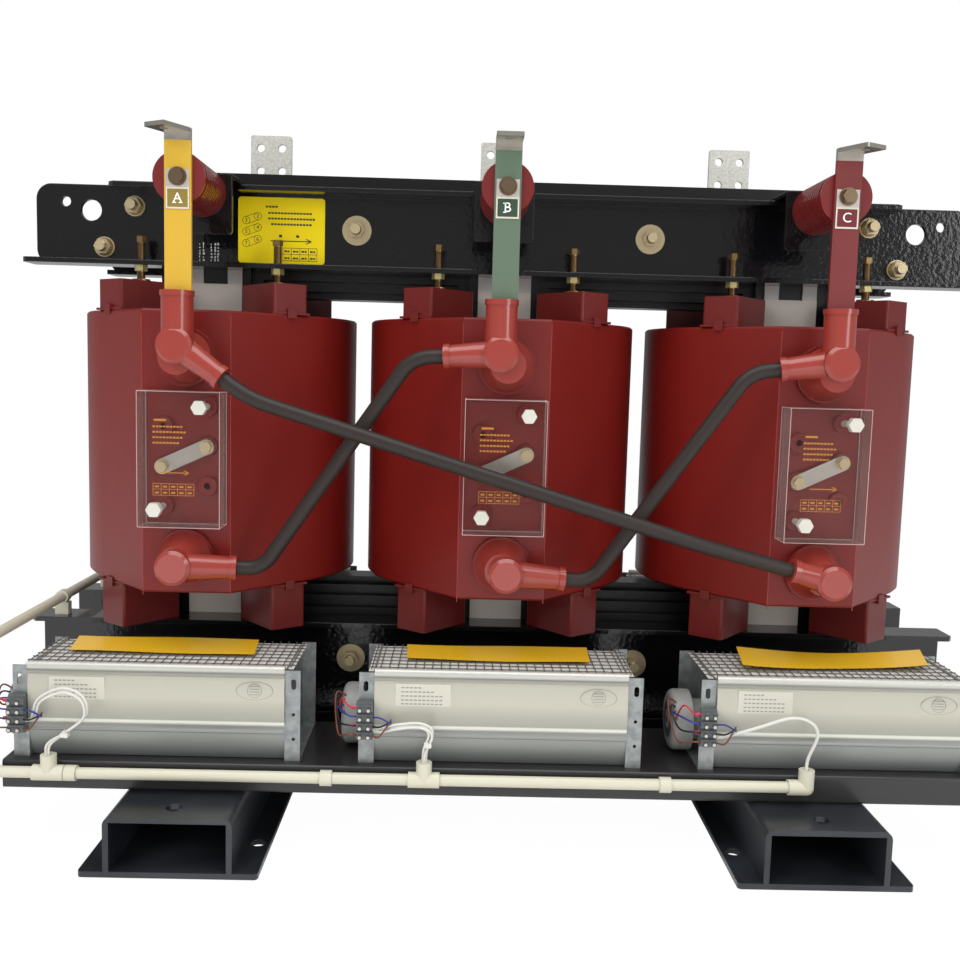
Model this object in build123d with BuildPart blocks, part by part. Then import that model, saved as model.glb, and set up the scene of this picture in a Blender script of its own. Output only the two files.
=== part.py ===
from build123d import *
from math import cos, sin, radians, hypot
import os

os.makedirs("parts", exist_ok=True)

# Dry type transformer, cast resin coils. Millimetres.
# X runs along the row of coils, -Y is the high voltage side, Z is up, floor at Z = 0.

# ---- main layout
coil_pitch = 480.0
coil_x = (-coil_pitch, 0.0, coil_pitch)
phases = ("a", "b", "c")

# ---- stepped core: (half width, half depth) of each lamination packet
packets = ((103.0, 26.0), (92.0, 46.0), (76.0, 60.0), (58.0, 72.0))
upper_yoke_z = 903.0
lower_yoke_z = 217.0
yoke_bolt_hole_r = 9.0

# ---- coils
coil_bottom = 335.0
coil_top = 765.0
hv_outer_r = 226.0
hv_inner_r = 156.0
lv_outer_r = 140.0
lv_inner_r = 112.0
panel_y = 262.0
panel_half = 66.5
coil_edge_chamfer = 3.0
terminal_ring_r = 44.0
terminal_ring_h = 10.0
upper_terminal_z = 694.0
lower_terminal_z = 391.0
tap_col_x = 33.0
tap_pitch = 60.0
tap_right_z = 561.0
tap_left_z = 530.0
tap_boss_r = 15.0
tap_boss_h = 8.0
tap_stud_r = 5.0

# ---- clamps
clamp_back_y = 76.0
web_t = 8.0
web_overhang = 290.0
web_half = coil_pitch + web_overhang
web_corner_r = 25.0
rear_web_overhang = 224.0
rear_web_half = coil_pitch + rear_web_overhang
rear_low_flange_overhang = 230.0
rear_low_flange_half = coil_pitch + rear_low_flange_overhang
rear_lifting_out = 184.0
rear_lifting_x = coil_pitch + rear_lifting_out
upper_web_z = (840.0, 971.0)
upper_low_flange_overhang = 296.0
upper_low_flange_half = coil_pitch + upper_low_flange_overhang
upper_low_flange_y = 132.0
upper_top_flange_overhang = 161.0
upper_top_flange_half = coil_pitch + upper_top_flange_overhang
upper_top_flange_y = 129.0
lower_web_z = (84.0, 262.0)
lower_flange_overhang = 288.0
lower_flange_half = coil_pitch + lower_flange_overhang
lower_flange_y = 136.0
lifting_out = 201.0
lifting_x = coil_pitch + lifting_out
lifting_z = 930.0
lifting_r = 17.0
tie_out = 242.0
tie_x = coil_pitch + tie_out
tie_z = 943.0
tie_r = 8.0

# ---- bolts through the clamps: (x, z, washer radius)
mid_bolt_out = 2.0
mid_bolt_x = coil_pitch / 2 + mid_bolt_out
end_bolt_out = 125.0
corner_bolt_out = 175.0
low_bolt_out = 170.0
clamp_bolts_at = (
    (mid_bolt_x, 909.0, 24.0),
    (coil_pitch + end_bolt_out, 938.0, 16.5),
    (coil_pitch + corner_bolt_out, 871.0, 16.5),
    (mid_bolt_x, 190.0, 24.0),
    (coil_pitch + low_bolt_out, 190.0, 16.5),
)
clamp_bolt_shift = -4.0
clamp_bolt_r = 8.0
clamp_hole_r = 9.0
clamp_washer_t = 4.0
clamp_nut_r = 13.5
clamp_nut_h = 13.0
clamp_bolt_end = 113.0

# ---- pull plates and insulating sheets at each limb
strip_w = 24.0
strip_x = 32.0
strip_z = (150.0, 960.0)
sheet_w = 88.0
sheet_top = 817.0
sheet_t = 2.0

# ---- spacer blocks
block_angle = 38.7
block_w = 60.0
block_inner_r = 118.5
block_outer_r = 226.0
block_top_z = 813.0
tab_w = 16.0
tab_reach = 6.0
tab_drop = 6.0
tab_rise = 9.0
skirt_t = 3.5
skirt_out = 3.0
jack_x = 110.0
jack_y = 118.0
jack_r = 6.0
jack_hole_r = 7.0
jack_foot_r = 14.0
jack_nut_r = 10.5
jack_head_r = 8.5
jack_nut_h = 9.0
jack_top = 886.0

# ---- high voltage terminals
hv_x = (-475.0, -8.0, 478.0)
insulator_z = 947.0
insulator_front_y = 319.0
insulator_back_y = 189.0
insulator_r = 37.5
insulator_core_r = 33.5
insulator_ribs = 13
bracket_w = 94.0
bracket_z = (885.0, 977.0)
bracket_t = 6.0
bar_w = 38.0
bar_t = 6.0
bar_bottom = 776.0
sleeve_top = 997.0
bar_top = 1014.0
bar_tab_len = 46.0
bar_tab_hole_back = 18.0
bar_tab_turn = (-30.0, 0.0, 30.0)
bar_hole_r = 6.5
bar_bolt_r = 6.0
bar_washer_r = 13.0
bar_washer_t = 2.5
bar_head_r = 10.5
bar_head_h = 8.0

# ---- cable boots and delta links
boot_ring_r = 40.0
boot_cap_r = 26.0
boot_cap_front = 20.0
boot_sleeve_r = 23.0
boot_lead_r = 19.5
boot_lip_r = 16.0
top_cap_y = 322.0
top_cap_z = 710.0
low_cap_y = 320.0
low_cap_z = 388.0
boot_top_z = 788.0
cable_r = 11.0
cable_fit = 0.2
cable_seat = 14.0
top_sleeve_len = 82.0
low_sleeve_len = 88.0

# ---- tap changer cover
cover_w = 122.0
cover_h = 202.0
cover_d = 47.0
cover_t = 3.0
cover_z = 543.0
cover_screw_hole_r = 6.5
link_w = 23.0
link_t = 5.0

# ---- low voltage bars
lv_w = 82.0
lv_t = 10.0
lv_y = 340.0
lv_top = 1144.0
lv_inset = 16.0
lv_x = (lv_inset - coil_pitch, 0.0, coil_pitch - lv_inset)
lv_neck_w = 76.0
lv_run_z = 795.0
lv_foot_y = 122.0
lv_hole_r = 8.0
lv_hole_dx = 42.5
lv_hole_dz = 45.0
lv_hole_top = 24.0

# ---- feet
foot_x = 443.0
foot_len = 1010.0
foot_plate_w = 240.0
foot_plate_t = 8.0
foot_box_w = 172.0
foot_top = 84.0
foot_wall = 8.0
foot_hole_r = 11.0
foot_hole_y = 470.0
foot_plate_hole_x = 103.0

# ---- fan shelf
shelf_half = 698.0
shelf_front = 415.0
shelf_back = 225.0
shelf_top = 125.0
shelf_t = 5.0

# ---- cross flow fans
fan_x = (-486.0, 1.0, 488.0)
fan_half = 202.0
fan_bracket_w = 22.0
fan_bracket_t = 2.5
fan_front = 399.0
fan_back = 242.0
fan_top = 257.0
fan_skin = 2.0
fan_axis_y = 318.0
fan_axis_z = 172.0
fan_rotor_r = 40.0
fan_rotor_half = 172.0
fan_blades = 14
journal_r = 5.0
journal_fit = 0.05
journal_end = 182.2
bush_r = 12.0
bush_len = 5.0
motor_r = 45.0
motor_len = 30.0
block_wide = 23.0
block_tall = 54.0
block_x = -192.5
block_z = 190.0
rail_r = 6.5
bead_z = 166.0
case_swell_z = 188.0

# ---- conduit
pipe_r = 8.0
fitting_r = 11.0
pipe_fit = 0.15
pipe_y = shelf_front + fitting_r
pipe_z = 112.0
pipe_left_x = -726.0
pipe_high_z = 291.0
pipe_runs = (
    (-1, (-629.0, -106.0), 434.0, (-598.0, -243.0, 234.0)),
    (1, (-434.0, 106.0), 629.0, (-600.0, -150.0, 400.0)),
)
tee_half = 22.0
tee_neck = 26.0
lead_r = 3.0
lead_fit = 0.1
lead_seat = 12.0


def save(builder, label):
    """Label a finished sub-part and write its file."""
    builder.part.label = label
    export_step(builder.part, "parts/" + label + ".step")


def front_plane(depth):
    """Plane facing the high voltage side, set at Y = -depth."""
    return Plane(origin=(0, -depth, 0), x_dir=(1, 0, 0), z_dir=(0, -1, 0))


def rear_plane(depth):
    """Plane facing the low voltage side, set at Y = depth, x still along +X."""
    return Plane(origin=(0, depth, 0), x_dir=(1, 0, 0), z_dir=(0, -1, 0))


# ---- core: limbs between two stepped yokes
with BuildPart() as core_limbs:
    depth_in = 0.0
    for half_w, half_d in packets:
        z0 = lower_yoke_z + half_w
        z1 = upper_yoke_z - half_w
        mid = (depth_in + half_d) / 2
        spots = [(x, s * mid, (z0 + z1) / 2) for x in coil_x for s in (-1, 1)]
        with Locations(*spots):
            Box(2 * half_w, half_d - depth_in, z1 - z0)
        depth_in = half_d
save(core_limbs, "core_limbs")

yoke_half = coil_pitch + packets[0][0]
for yoke_name, yoke_z, bolt_z in (("upper_yoke", upper_yoke_z, 909.0), ("lower_yoke", lower_yoke_z, 190.0)):
    with BuildPart() as yoke:
        for half_w, half_d in packets:
            with Locations((0, 0, yoke_z)):
                Box(2 * (coil_pitch + half_w), 2 * half_d, 2 * half_w)
        with BuildSketch(front_plane(packets[-1][1] + 1)):
            with Locations(*[(clamp_bolt_shift + side * mid_bolt_x, bolt_z) for side in (-1, 1)]):
                Circle(yoke_bolt_hole_r)
        extrude(amount=-2 * (packets[-1][1] + 1), mode=Mode.SUBTRACT)
    save(yoke, yoke_name)

# ---- upper clamp: web with two flanges turned outwards
all_bolts = [(s * x + clamp_bolt_shift, z, w) for x, z, w in clamp_bolts_at for s in (-1, 1)]
upper_bolts = [(x, z) for x, z, w in all_bolts if z > 500]
lower_bolts = [(x, z) for x, z, w in all_bolts if z < 500]
jack_spots = [(x + s * jack_x, -jack_y) for x in coil_x for s in (-1, 1)]
web_face = clamp_back_y + web_t

with BuildPart() as upper_clamp_front:
    with BuildSketch(front_plane(clamp_back_y)) as web_sk:
        with Locations((0, sum(upper_web_z) / 2)):
            Rectangle(2 * web_half, upper_web_z[1] - upper_web_z[0])
        fillet(web_sk.vertices().group_by(Axis.Z)[-1], web_corner_r)
        with Locations(*upper_bolts):
            Circle(clamp_hole_r, mode=Mode.SUBTRACT)
        with Locations((-lifting_x, lifting_z), (lifting_x, lifting_z)):
            Circle(lifting_r, mode=Mode.SUBTRACT)
        with Locations((-tie_x, tie_z), (tie_x, tie_z)):
            Circle(tie_r, mode=Mode.SUBTRACT)
    extrude(amount=web_t)
    with BuildSketch(Plane.XY.offset(upper_web_z[0])) as low_flange:
        with Locations((0, -(clamp_back_y + upper_low_flange_y) / 2)):
            Rectangle(2 * upper_low_flange_half, upper_low_flange_y - clamp_back_y)
        chamfer(low_flange.vertices().group_by(Axis.Y)[0], 6)
        with Locations(*jack_spots):
            Circle(jack_hole_r, mode=Mode.SUBTRACT)
    extrude(amount=web_t)
    with BuildSketch(Plane.XY.offset(upper_web_z[1] - web_t)) as top_flange:
        with Locations((0, -(web_face + upper_top_flange_y) / 2)):
            Rectangle(2 * upper_top_flange_half, upper_top_flange_y - web_face)
        chamfer(top_flange.vertices().group_by(Axis.Y)[0], 10)
    extrude(amount=web_t)
save(upper_clamp_front, "upper_clamp_front")

with BuildPart() as upper_clamp_rear:
    with BuildSketch(rear_plane(clamp_back_y)) as web_sk:
        with Locations((0, sum(upper_web_z) / 2)):
            Rectangle(2 * rear_web_half, upper_web_z[1] - upper_web_z[0])
        fillet(web_sk.vertices().group_by(Axis.Z)[-1], web_corner_r)
        with Locations(*upper_bolts):
            Circle(clamp_hole_r, mode=Mode.SUBTRACT)
        with Locations((-rear_lifting_x, lifting_z), (rear_lifting_x, lifting_z)):
            Circle(lifting_r, mode=Mode.SUBTRACT)
    extrude(amount=-web_t)
    with BuildSketch(Plane.XY.offset(upper_web_z[0])) as low_flange:
        with Locations((0, (clamp_back_y + upper_low_flange_y) / 2)):
            Rectangle(2 * rear_low_flange_half, upper_low_flange_y - clamp_back_y)
        chamfer(low_flange.vertices().group_by(Axis.Y)[-1], 6)
        with Locations(*[(x, -y) for x, y in jack_spots]):
            Circle(jack_hole_r, mode=Mode.SUBTRACT)
    extrude(amount=web_t)
    with BuildSketch(Plane.XY.offset(upper_web_z[1] - web_t)) as top_flange:
        with Locations((0, (web_face + upper_top_flange_y) / 2)):
            Rectangle(2 * upper_top_flange_half, upper_top_flange_y - web_face)
        chamfer(top_flange.vertices().group_by(Axis.Y)[-1], 10)
    extrude(amount=web_t)
save(upper_clamp_rear, "upper_clamp_rear")

# ---- lower clamp: channel standing on the feet
with BuildPart() as lower_clamp_front:
    with BuildSketch(front_plane(clamp_back_y)):
        with Locations((0, sum(lower_web_z) / 2)):
            Rectangle(2 * lower_flange_half, lower_web_z[1] - lower_web_z[0])
        with Locations(*lower_bolts):
            Circle(clamp_hole_r, mode=Mode.SUBTRACT)
    extrude(amount=web_t)
    for flange_z in (lower_web_z[0], lower_web_z[1] - web_t):
        with BuildSketch(Plane.XY.offset(flange_z)) as flange_sk:
            with Locations((0, -(web_face + lower_flange_y) / 2)):
                Rectangle(2 * lower_flange_half, lower_flange_y - web_face)
            chamfer(flange_sk.vertices().group_by(Axis.Y)[0], 6)
        extrude(amount=web_t)
save(lower_clamp_front, "lower_clamp_front")

with BuildPart() as lower_clamp_rear:
    mirror(lower_clamp_front.part, about=Plane.XZ)
save(lower_clamp_rear, "lower_clamp_rear")

# ---- pull plates against the limbs, insulating sheets in front of them
strip_y = (packets[-1][1] + clamp_back_y) / 2
with BuildPart() as pull_plates:
    spots = [(x + s * strip_x, t * strip_y, sum(strip_z) / 2) for x in coil_x for s in (-1, 1) for t in (-1, 1)]
    with Locations(*spots):
        Box(strip_w, clamp_back_y - packets[-1][1], strip_z[1] - strip_z[0])
save(pull_plates, "pull_plates")

with BuildPart() as limb_sheets:
    sheet_z = (lower_web_z[1], sheet_top)
    spots = [(x, t * (clamp_back_y + sheet_t / 2), sum(sheet_z) / 2) for x in coil_x for t in (-1, 1)]
    with Locations(*spots):
        Box(sheet_w, sheet_t, sheet_z[1] - sheet_z[0])
save(limb_sheets, "limb_sheets")

# ---- outline of a high voltage coil: round body with a flat terminal panel in front
panel_far = hypot(panel_half, panel_y)
with BuildSketch() as coil_outline:
    Circle(hv_outer_r)
    with BuildLine():
        tangent_from = (panel_half, -panel_y)
        reach = (panel_far**2 - hv_outer_r**2) ** 0.5
        turn = hv_outer_r / panel_far
        side = reach / panel_far
        ux = tangent_from[0] / panel_far
        uy = tangent_from[1] / panel_far
        tx = hv_outer_r * (turn * ux - side * uy)
        ty = hv_outer_r * (turn * uy + side * ux)
        Polyline((-tx, ty), (-panel_half, -panel_y), (panel_half, -panel_y), (tx, ty), close=True)
    make_face()

tap_spots = [(tap_col_x, tap_right_z + k * tap_pitch) for k in (-1, 0, 1)]
tap_spots += [(-tap_col_x, tap_left_z + k * tap_pitch) for k in (-1, 0, 1)]

for phase, x in zip(phases, coil_x):
    with BuildPart() as hv_coil:
        with BuildSketch(Plane.XY.offset(coil_bottom)):
            with Locations((x, 0)):
                add(coil_outline.sketch)
                Circle(hv_inner_r, mode=Mode.SUBTRACT)
        extrude(amount=coil_top - coil_bottom)
        rims = hv_coil.faces().filter_by(Axis.Z)
        outer_rims = [e for f in rims for e in f.outer_wire().edges()]
        chamfer(outer_rims, coil_edge_chamfer)
        with BuildSketch(front_plane(panel_y)):
            with Locations((x, upper_terminal_z), (x, lower_terminal_z)):
                Circle(terminal_ring_r)
        extrude(amount=terminal_ring_h)
        with BuildSketch(front_plane(panel_y)):
            with Locations(*[(x + dx, z) for dx, z in tap_spots]):
                Circle(tap_boss_r)
        extrude(amount=tap_boss_h)
        with BuildSketch(front_plane(panel_y + tap_boss_h)):
            with Locations(*[(x + dx, z) for dx, z in tap_spots]):
                Circle(tap_stud_r)
        extrude(amount=-24, mode=Mode.SUBTRACT)
    save(hv_coil, "hv_coil_" + phase)

with BuildPart() as lv_coils:
    with BuildSketch(Plane.XY.offset(coil_bottom)):
        with Locations(*[(x, 0) for x in coil_x]):
            Circle(lv_outer_r)
            Circle(lv_inner_r, mode=Mode.SUBTRACT)
    extrude(amount=coil_top - coil_bottom)
save(lv_coils, "lv_coils")

# ---- spacer blocks between the coils and the clamps
block_turns = (-90 - block_angle, -90 + block_angle, 90 - block_angle, 90 + block_angle)
for label, z0, z1, tab0, tab1 in (
    ("upper_spacer_blocks", coil_top, block_top_z, coil_top - tab_drop, coil_top + tab_rise),
    ("lower_spacer_blocks", lower_web_z[1], coil_bottom, coil_bottom - tab_rise, coil_bottom + tab_drop),
):
    with BuildPart() as blocks:
        for x in coil_x:
            for turn_deg in block_turns:
                plane = Plane(origin=(x, 0, 0), x_dir=(cos(radians(turn_deg)), sin(radians(turn_deg)), 0))
                with BuildSketch(plane.offset(z0)) as foot:
                    with Locations(((block_inner_r + block_outer_r) / 2, 0)):
                        Rectangle(block_outer_r - block_inner_r, block_w)
                    fillet(foot.vertices(), 4)
                extrude(amount=z1 - z0)
                with BuildSketch(plane.offset(tab0)):
                    with Locations(((block_outer_r + tab_reach + 200) / 2, 0)):
                        Rectangle(block_outer_r + tab_reach - 200, tab_w)
                extrude(amount=tab1 - tab0)
                skirt_z = coil_top if z0 == coil_top else coil_bottom - skirt_t
                with BuildSketch(plane.offset(skirt_z)):
                    with Locations(((block_inner_r + block_outer_r + skirt_out) / 2, 0)):
                        Rectangle(block_outer_r + skirt_out - block_inner_r, block_w + 2 * skirt_out)
                extrude(amount=skirt_t)
        with BuildSketch(Plane.XY.offset(coil_bottom)):
            with Locations(*[(x, 0) for x in coil_x]):
                add(coil_outline.sketch)
        extrude(amount=coil_top - coil_bottom, mode=Mode.SUBTRACT)
    save(blocks, label)

# ---- jack bolts pressing on the upper blocks
all_jacks = [(x, t * y) for x, y in jack_spots for t in (-1, 1)]
with BuildPart() as jack_bolts:
    for z0, z1, r, flat in (
        (block_top_z, block_top_z + 5, jack_foot_r, False),
        (block_top_z + 5, jack_top - 9, jack_r, False),
        (jack_top - 9, jack_top, jack_head_r, True),
    ):
        with BuildSketch(Plane.XY.offset(z0)):
            with Locations(*all_jacks):
                if flat:
                    RegularPolygon(r, 6)
                else:
                    Circle(r)
        extrude(amount=z1 - z0)
save(jack_bolts, "jack_bolts")

with BuildPart() as jack_lock_nuts:
    with BuildSketch(Plane.XY.offset(upper_web_z[0] - jack_nut_h)):
        with Locations(*all_jacks):
            RegularPolygon(jack_nut_r, 6)
            Circle(jack_r, mode=Mode.SUBTRACT)
    extrude(amount=jack_nut_h)
save(jack_lock_nuts, "jack_lock_nuts")

# ---- bolts through yokes and clamps, washer and nut at each end
with BuildPart() as clamp_bolts:
    for x, z, washer_r in all_bolts:
        with BuildSketch(front_plane(clamp_bolt_end)):
            with Locations((x, z)):
                Circle(clamp_bolt_r)
        extrude(amount=-2 * clamp_bolt_end)
        for t in (-1, 1):
            with BuildSketch(Plane(origin=(x, t * web_face, z), x_dir=(1, 0, 0), z_dir=(0, t, 0))):
                Circle(washer_r)
            extrude(amount=clamp_washer_t)
            nut_y = t * (web_face + clamp_washer_t)
            with BuildSketch(Plane(origin=(x, nut_y, z), x_dir=(1, 0, 0), z_dir=(0, t, 0))):
                RegularPolygon(clamp_nut_r, 6)
            extrude(amount=clamp_nut_h)
save(clamp_bolts, "clamp_bolts")

# ---- ribbed post insulators on brackets hung from the upper flange
ins_len = insulator_front_y - insulator_back_y
with BuildPart() as insulators:
    spots = [(x, insulator_z) for x in hv_x]
    with BuildSketch(front_plane(insulator_back_y)):
        with Locations(*spots):
            Circle(insulator_core_r)
    extrude(amount=ins_len)
    rib_step = ins_len / insulator_ribs
    for k in range(insulator_ribs):
        last = k == insulator_ribs - 1
        rib_y = insulator_back_y + k * rib_step
        with BuildSketch(front_plane(rib_y if not last else insulator_front_y - 0.55 * rib_step)):
            with Locations(*spots):
                Circle(insulator_r)
        extrude(amount=0.55 * rib_step)
    with BuildSketch(front_plane(insulator_front_y)):
        with Locations(*spots):
            Circle(bar_bolt_r)
    extrude(amount=-20, mode=Mode.SUBTRACT)
save(insulators, "insulators")

with BuildPart() as insulator_brackets:
    for x in hv_x:
        with BuildSketch(front_plane(insulator_back_y - bracket_t)) as plate:
            with Locations((x, sum(bracket_z) / 2)):
                Rectangle(bracket_w, bracket_z[1] - bracket_z[0])
            fillet(plate.vertices().group_by(Axis.Z)[0], 6)
        extrude(amount=bracket_t)
        with Locations((x, -(web_face + insulator_back_y) / 2, bracket_z[1] - bracket_t / 2)):
            Box(bracket_w, insulator_back_y - web_face, bracket_t)
        inside = insulator_brackets.edges().filter_by(Axis.X).sort_by(
            lambda e: abs(e.center().Y + insulator_back_y - bracket_t) + abs(e.center().Z - bracket_z[1] + bracket_t)
            + abs(e.center().X - x)
        )[0]
        fillet(inside, 5)
save(insulator_brackets, "insulator_brackets")

# ---- high voltage bars: sleeved part, then a bare tinned tab turned forward
for phase, x, turn_deg in zip(phases, hv_x, bar_tab_turn):
    with BuildPart() as hv_bar:
        with BuildSketch(front_plane(insulator_front_y)):
            with Locations((x, (bar_bottom + sleeve_top) / 2)):
                Rectangle(bar_w, sleeve_top - bar_bottom)
            with Locations((x, insulator_z)):
                Circle(bar_hole_r, mode=Mode.SUBTRACT)
        extrude(amount=bar_t)
    save(hv_bar, "hv_bar_" + phase)

with BuildPart() as hv_tabs:
    for x, turn_deg in zip(hv_x, bar_tab_turn):
        with Locations((x, -(insulator_front_y + bar_t / 2), (sleeve_top + bar_top) / 2)):
            Box(bar_w, bar_t, bar_top - sleeve_top)
        tab_y = -(insulator_front_y + bar_t / 2)
        heading = radians(-90 + turn_deg)
        tab_plane = Plane(origin=(x, tab_y, bar_top - bar_t), x_dir=(cos(heading), sin(heading), 0))
        with BuildSketch(tab_plane) as tab_sk:
            with Locations((bar_tab_len / 2, 0)):
                Rectangle(bar_tab_len, bar_w)
            fillet(tab_sk.vertices().sort_by(Axis((x, tab_y, 0), (cos(heading), sin(heading), 0)))[-2:], 3)
            with Locations((bar_tab_len - bar_tab_hole_back, 0)):
                Circle(bar_hole_r, mode=Mode.SUBTRACT)
        extrude(amount=bar_t)
        with BuildSketch(Plane.XY.offset(bar_top - bar_t)):
            with Locations((x, tab_y)):
                Circle(bar_w / 2)
        extrude(amount=bar_t)
    edge_cut = insulator_front_y
    with Locations((0, -edge_cut + 40, bar_top)):
        Box(2 * web_half, 80, 80, mode=Mode.SUBTRACT)
save(hv_tabs, "hv_tabs")

with BuildPart() as bar_bolts:
    spots = [(x, insulator_z) for x in hv_x]
    bar_face = insulator_front_y + bar_t
    with BuildSketch(front_plane(insulator_front_y - 18)):
        with Locations(*spots):
            Circle(bar_bolt_r)
    extrude(amount=bar_t + 18 + bar_washer_t)
    with BuildSketch(front_plane(bar_face)):
        with Locations(*spots):
            Circle(bar_washer_r)
    extrude(amount=bar_washer_t)
    with BuildSketch(front_plane(bar_face + bar_washer_t)):
        with Locations(*spots):
            RegularPolygon(bar_head_r, 6)
    extrude(amount=bar_head_h)
save(bar_bolts, "bar_bolts")

# ---- boot caps, and the corners each delta cable passes
top_cap = [(x, -top_cap_y, top_cap_z) for x in (-477.0, -12.0, 479.0)]
low_cap = [(x, -low_cap_y, low_cap_z) for x in (-481.0, 5.0, 489.0)]
via_ac = [(-369.0, -338.0, 636.0), (21.0, -344.0, 520.0), (287.0, -340.0, 441.0)]
via_ba = [(-357.0, -304.0, 384.0), (-141.0, -304.0, 702.0)]
via_cb = [(133.0, -304.0, 376.0), (356.0, -304.0, 693.0)]


def toward(start, end, length):
    """Point at a length from start on the way to end."""
    span = [b - a for a, b in zip(start, end)]
    size = sum(v * v for v in span) ** 0.5
    return tuple(a + v * length / size for a, v in zip(start, span))


def distance(start, end):
    return sum((b - a) ** 2 for a, b in zip(start, end)) ** 0.5


def boot(x_ring, z_ring, cap, lead, stem_top):
    """Moulded elbow: cone on the coil ring, round cap, cable sleeve, and an upright stem if wanted."""
    gap = distance(cap, lead)
    out = tuple((b - a) / gap for a, b in zip(cap, lead))
    ring_at = (x_ring, -(panel_y + terminal_ring_h), z_ring)
    cone_len = -cap[1] - panel_y - terminal_ring_h
    with BuildPart(mode=Mode.PRIVATE) as body:
        with Locations(Plane(origin=ring_at, z_dir=(0, -1, 0))):
            Cone(boot_ring_r, boot_cap_r, cone_len, align=(Align.CENTER, Align.CENTER, Align.MIN))
        with Locations(Plane(origin=cap, z_dir=(0, -1, 0))):
            Cylinder(boot_cap_r, boot_cap_front, align=(Align.CENTER, Align.CENTER, Align.MIN))
        with Locations(Plane(origin=(cap[0], cap[1] - boot_cap_front, cap[2]), z_dir=(0, -1, 0))):
            Cone(boot_cap_r, boot_cap_r - 5, 4, align=(Align.CENTER, Align.CENTER, Align.MIN))
        with Locations(Plane(origin=cap, z_dir=out)):
            Cone(boot_lead_r + 2, boot_lip_r, gap, align=(Align.CENTER, Align.CENTER, Align.MIN))
        with Locations(Plane(origin=toward(lead, cap, 9), z_dir=out)):
            Cylinder(boot_lip_r + 2.5, 9, align=(Align.CENTER, Align.CENTER, Align.MIN))
        if stem_top > 0:
            with Locations(cap):
                Cylinder(boot_sleeve_r, stem_top - cap[2], align=(Align.CENTER, Align.CENTER, Align.MIN))
            with Locations((cap[0], cap[1], stem_top - 8)):
                Cylinder(boot_sleeve_r + 1.5, 8, align=(Align.CENTER, Align.CENTER, Align.MIN))
        with Locations(Plane(origin=toward(lead, cap, cable_seat), z_dir=out)):
            socket_len = cable_seat + 1
            Cylinder(cable_r + cable_fit, socket_len, align=(Align.CENTER, Align.CENTER, Align.MIN), mode=Mode.SUBTRACT)
    return body.part


top_lead = [
    toward(top_cap[0], via_ac[0], top_sleeve_len),
    toward(top_cap[1], via_ba[1], top_sleeve_len),
    toward(top_cap[2], via_cb[1], top_sleeve_len),
]
low_lead = [
    toward(low_cap[0], via_ba[0], low_sleeve_len),
    toward(low_cap[1], via_cb[0], low_sleeve_len),
    toward(low_cap[2], via_ac[-1], low_sleeve_len - 24),
]

with BuildPart() as upper_boots:
    for i in range(3):
        add(boot(coil_x[i], upper_terminal_z, top_cap[i], top_lead[i], boot_top_z))
    with Locations(*[(x, -(insulator_front_y + bar_t / 2), (bar_bottom + boot_top_z) / 2 + 1) for x in hv_x]):
        Box(bar_w + 0.4, bar_t + 0.4, boot_top_z - bar_bottom + 2, mode=Mode.SUBTRACT)
save(upper_boots, "upper_boots")

with BuildPart() as lower_boots:
    for i in range(3):
        add(boot(coil_x[i], lower_terminal_z, low_cap[i], low_lead[i], 0))
save(lower_boots, "lower_boots")

# ---- delta cables from boot to boot, straight runs joined by tangent arcs
cable_runs = (
    ("delta_cable_ac", top_cap[0], top_lead[0], via_ac, low_lead[2], low_cap[2]),
    ("delta_cable_ba", low_cap[0], low_lead[0], via_ba, top_lead[1], top_cap[1]),
    ("delta_cable_cb", low_cap[1], low_lead[1], via_cb, top_lead[2], top_cap[2]),
)


def bend_radii(points):
    """Largest easy arc at each corner: 0.45 of the shorter run over the tangent of the half turn."""
    radii = []
    for a, b, c in zip(points, points[1:], points[2:]):
        run_in = distance(a, b)
        run_out = distance(b, c)
        dot = sum((q - p) * (s - q) for p, q, s in zip(a, b, c)) / (run_in * run_out)
        half = ((1 - dot) / (1 + dot)) ** 0.5
        radii.append(min(0.45 * min(run_in, run_out) / max(half, 1e-3), 400.0))
    return radii


for label, cap0, lead0, via, lead1, cap1 in cable_runs:
    start = toward(lead0, cap0, cable_seat)
    end = toward(lead1, cap1, cable_seat)
    points = [start] + via + [end]
    radii = bend_radii(points)
    with BuildPart() as cable:
        with BuildLine() as route:
            FilletPolyline(*points, radius=radii)
        spine = route.wires()[0]
        with BuildSketch(Plane(origin=spine @ 0, z_dir=spine % 0)):
            Circle(cable_r)
        sweep(path=spine)
    length = spine.length
    print(label, "radii", [round(r) for r in radii], "length", round(length))
    print(label, "volume over section x length", round(cable.part.volume / (3.14159265 * cable_r**2 * length), 4))
    save(cable, label)

# ---- clear covers over the tap links
cover_mid_y = -(panel_y + cover_d / 2)
with BuildPart() as tap_covers:
    with Locations(*[(x, cover_mid_y, cover_z) for x in coil_x]):
        Box(cover_w, cover_d, cover_h)
    fillet(tap_covers.edges().filter_by(Axis.Y), 4)
    with Locations(*[(x, cover_mid_y + cover_t / 2, cover_z) for x in coil_x]):
        Box(cover_w - 2 * cover_t, cover_d - cover_t, cover_h - 2 * cover_t, mode=Mode.SUBTRACT)
    with BuildSketch(front_plane(panel_y + cover_d + 1)):
        with Locations(*[(x + tap_col_x, tap_right_z + tap_pitch) for x in coil_x]):
            Circle(cover_screw_hole_r)
        with Locations(*[(x - tap_col_x, tap_left_z - tap_pitch) for x in coil_x]):
            Circle(cover_screw_hole_r)
    extrude(amount=-cover_t - 2, mode=Mode.SUBTRACT)
save(tap_covers, "tap_covers")

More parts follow.
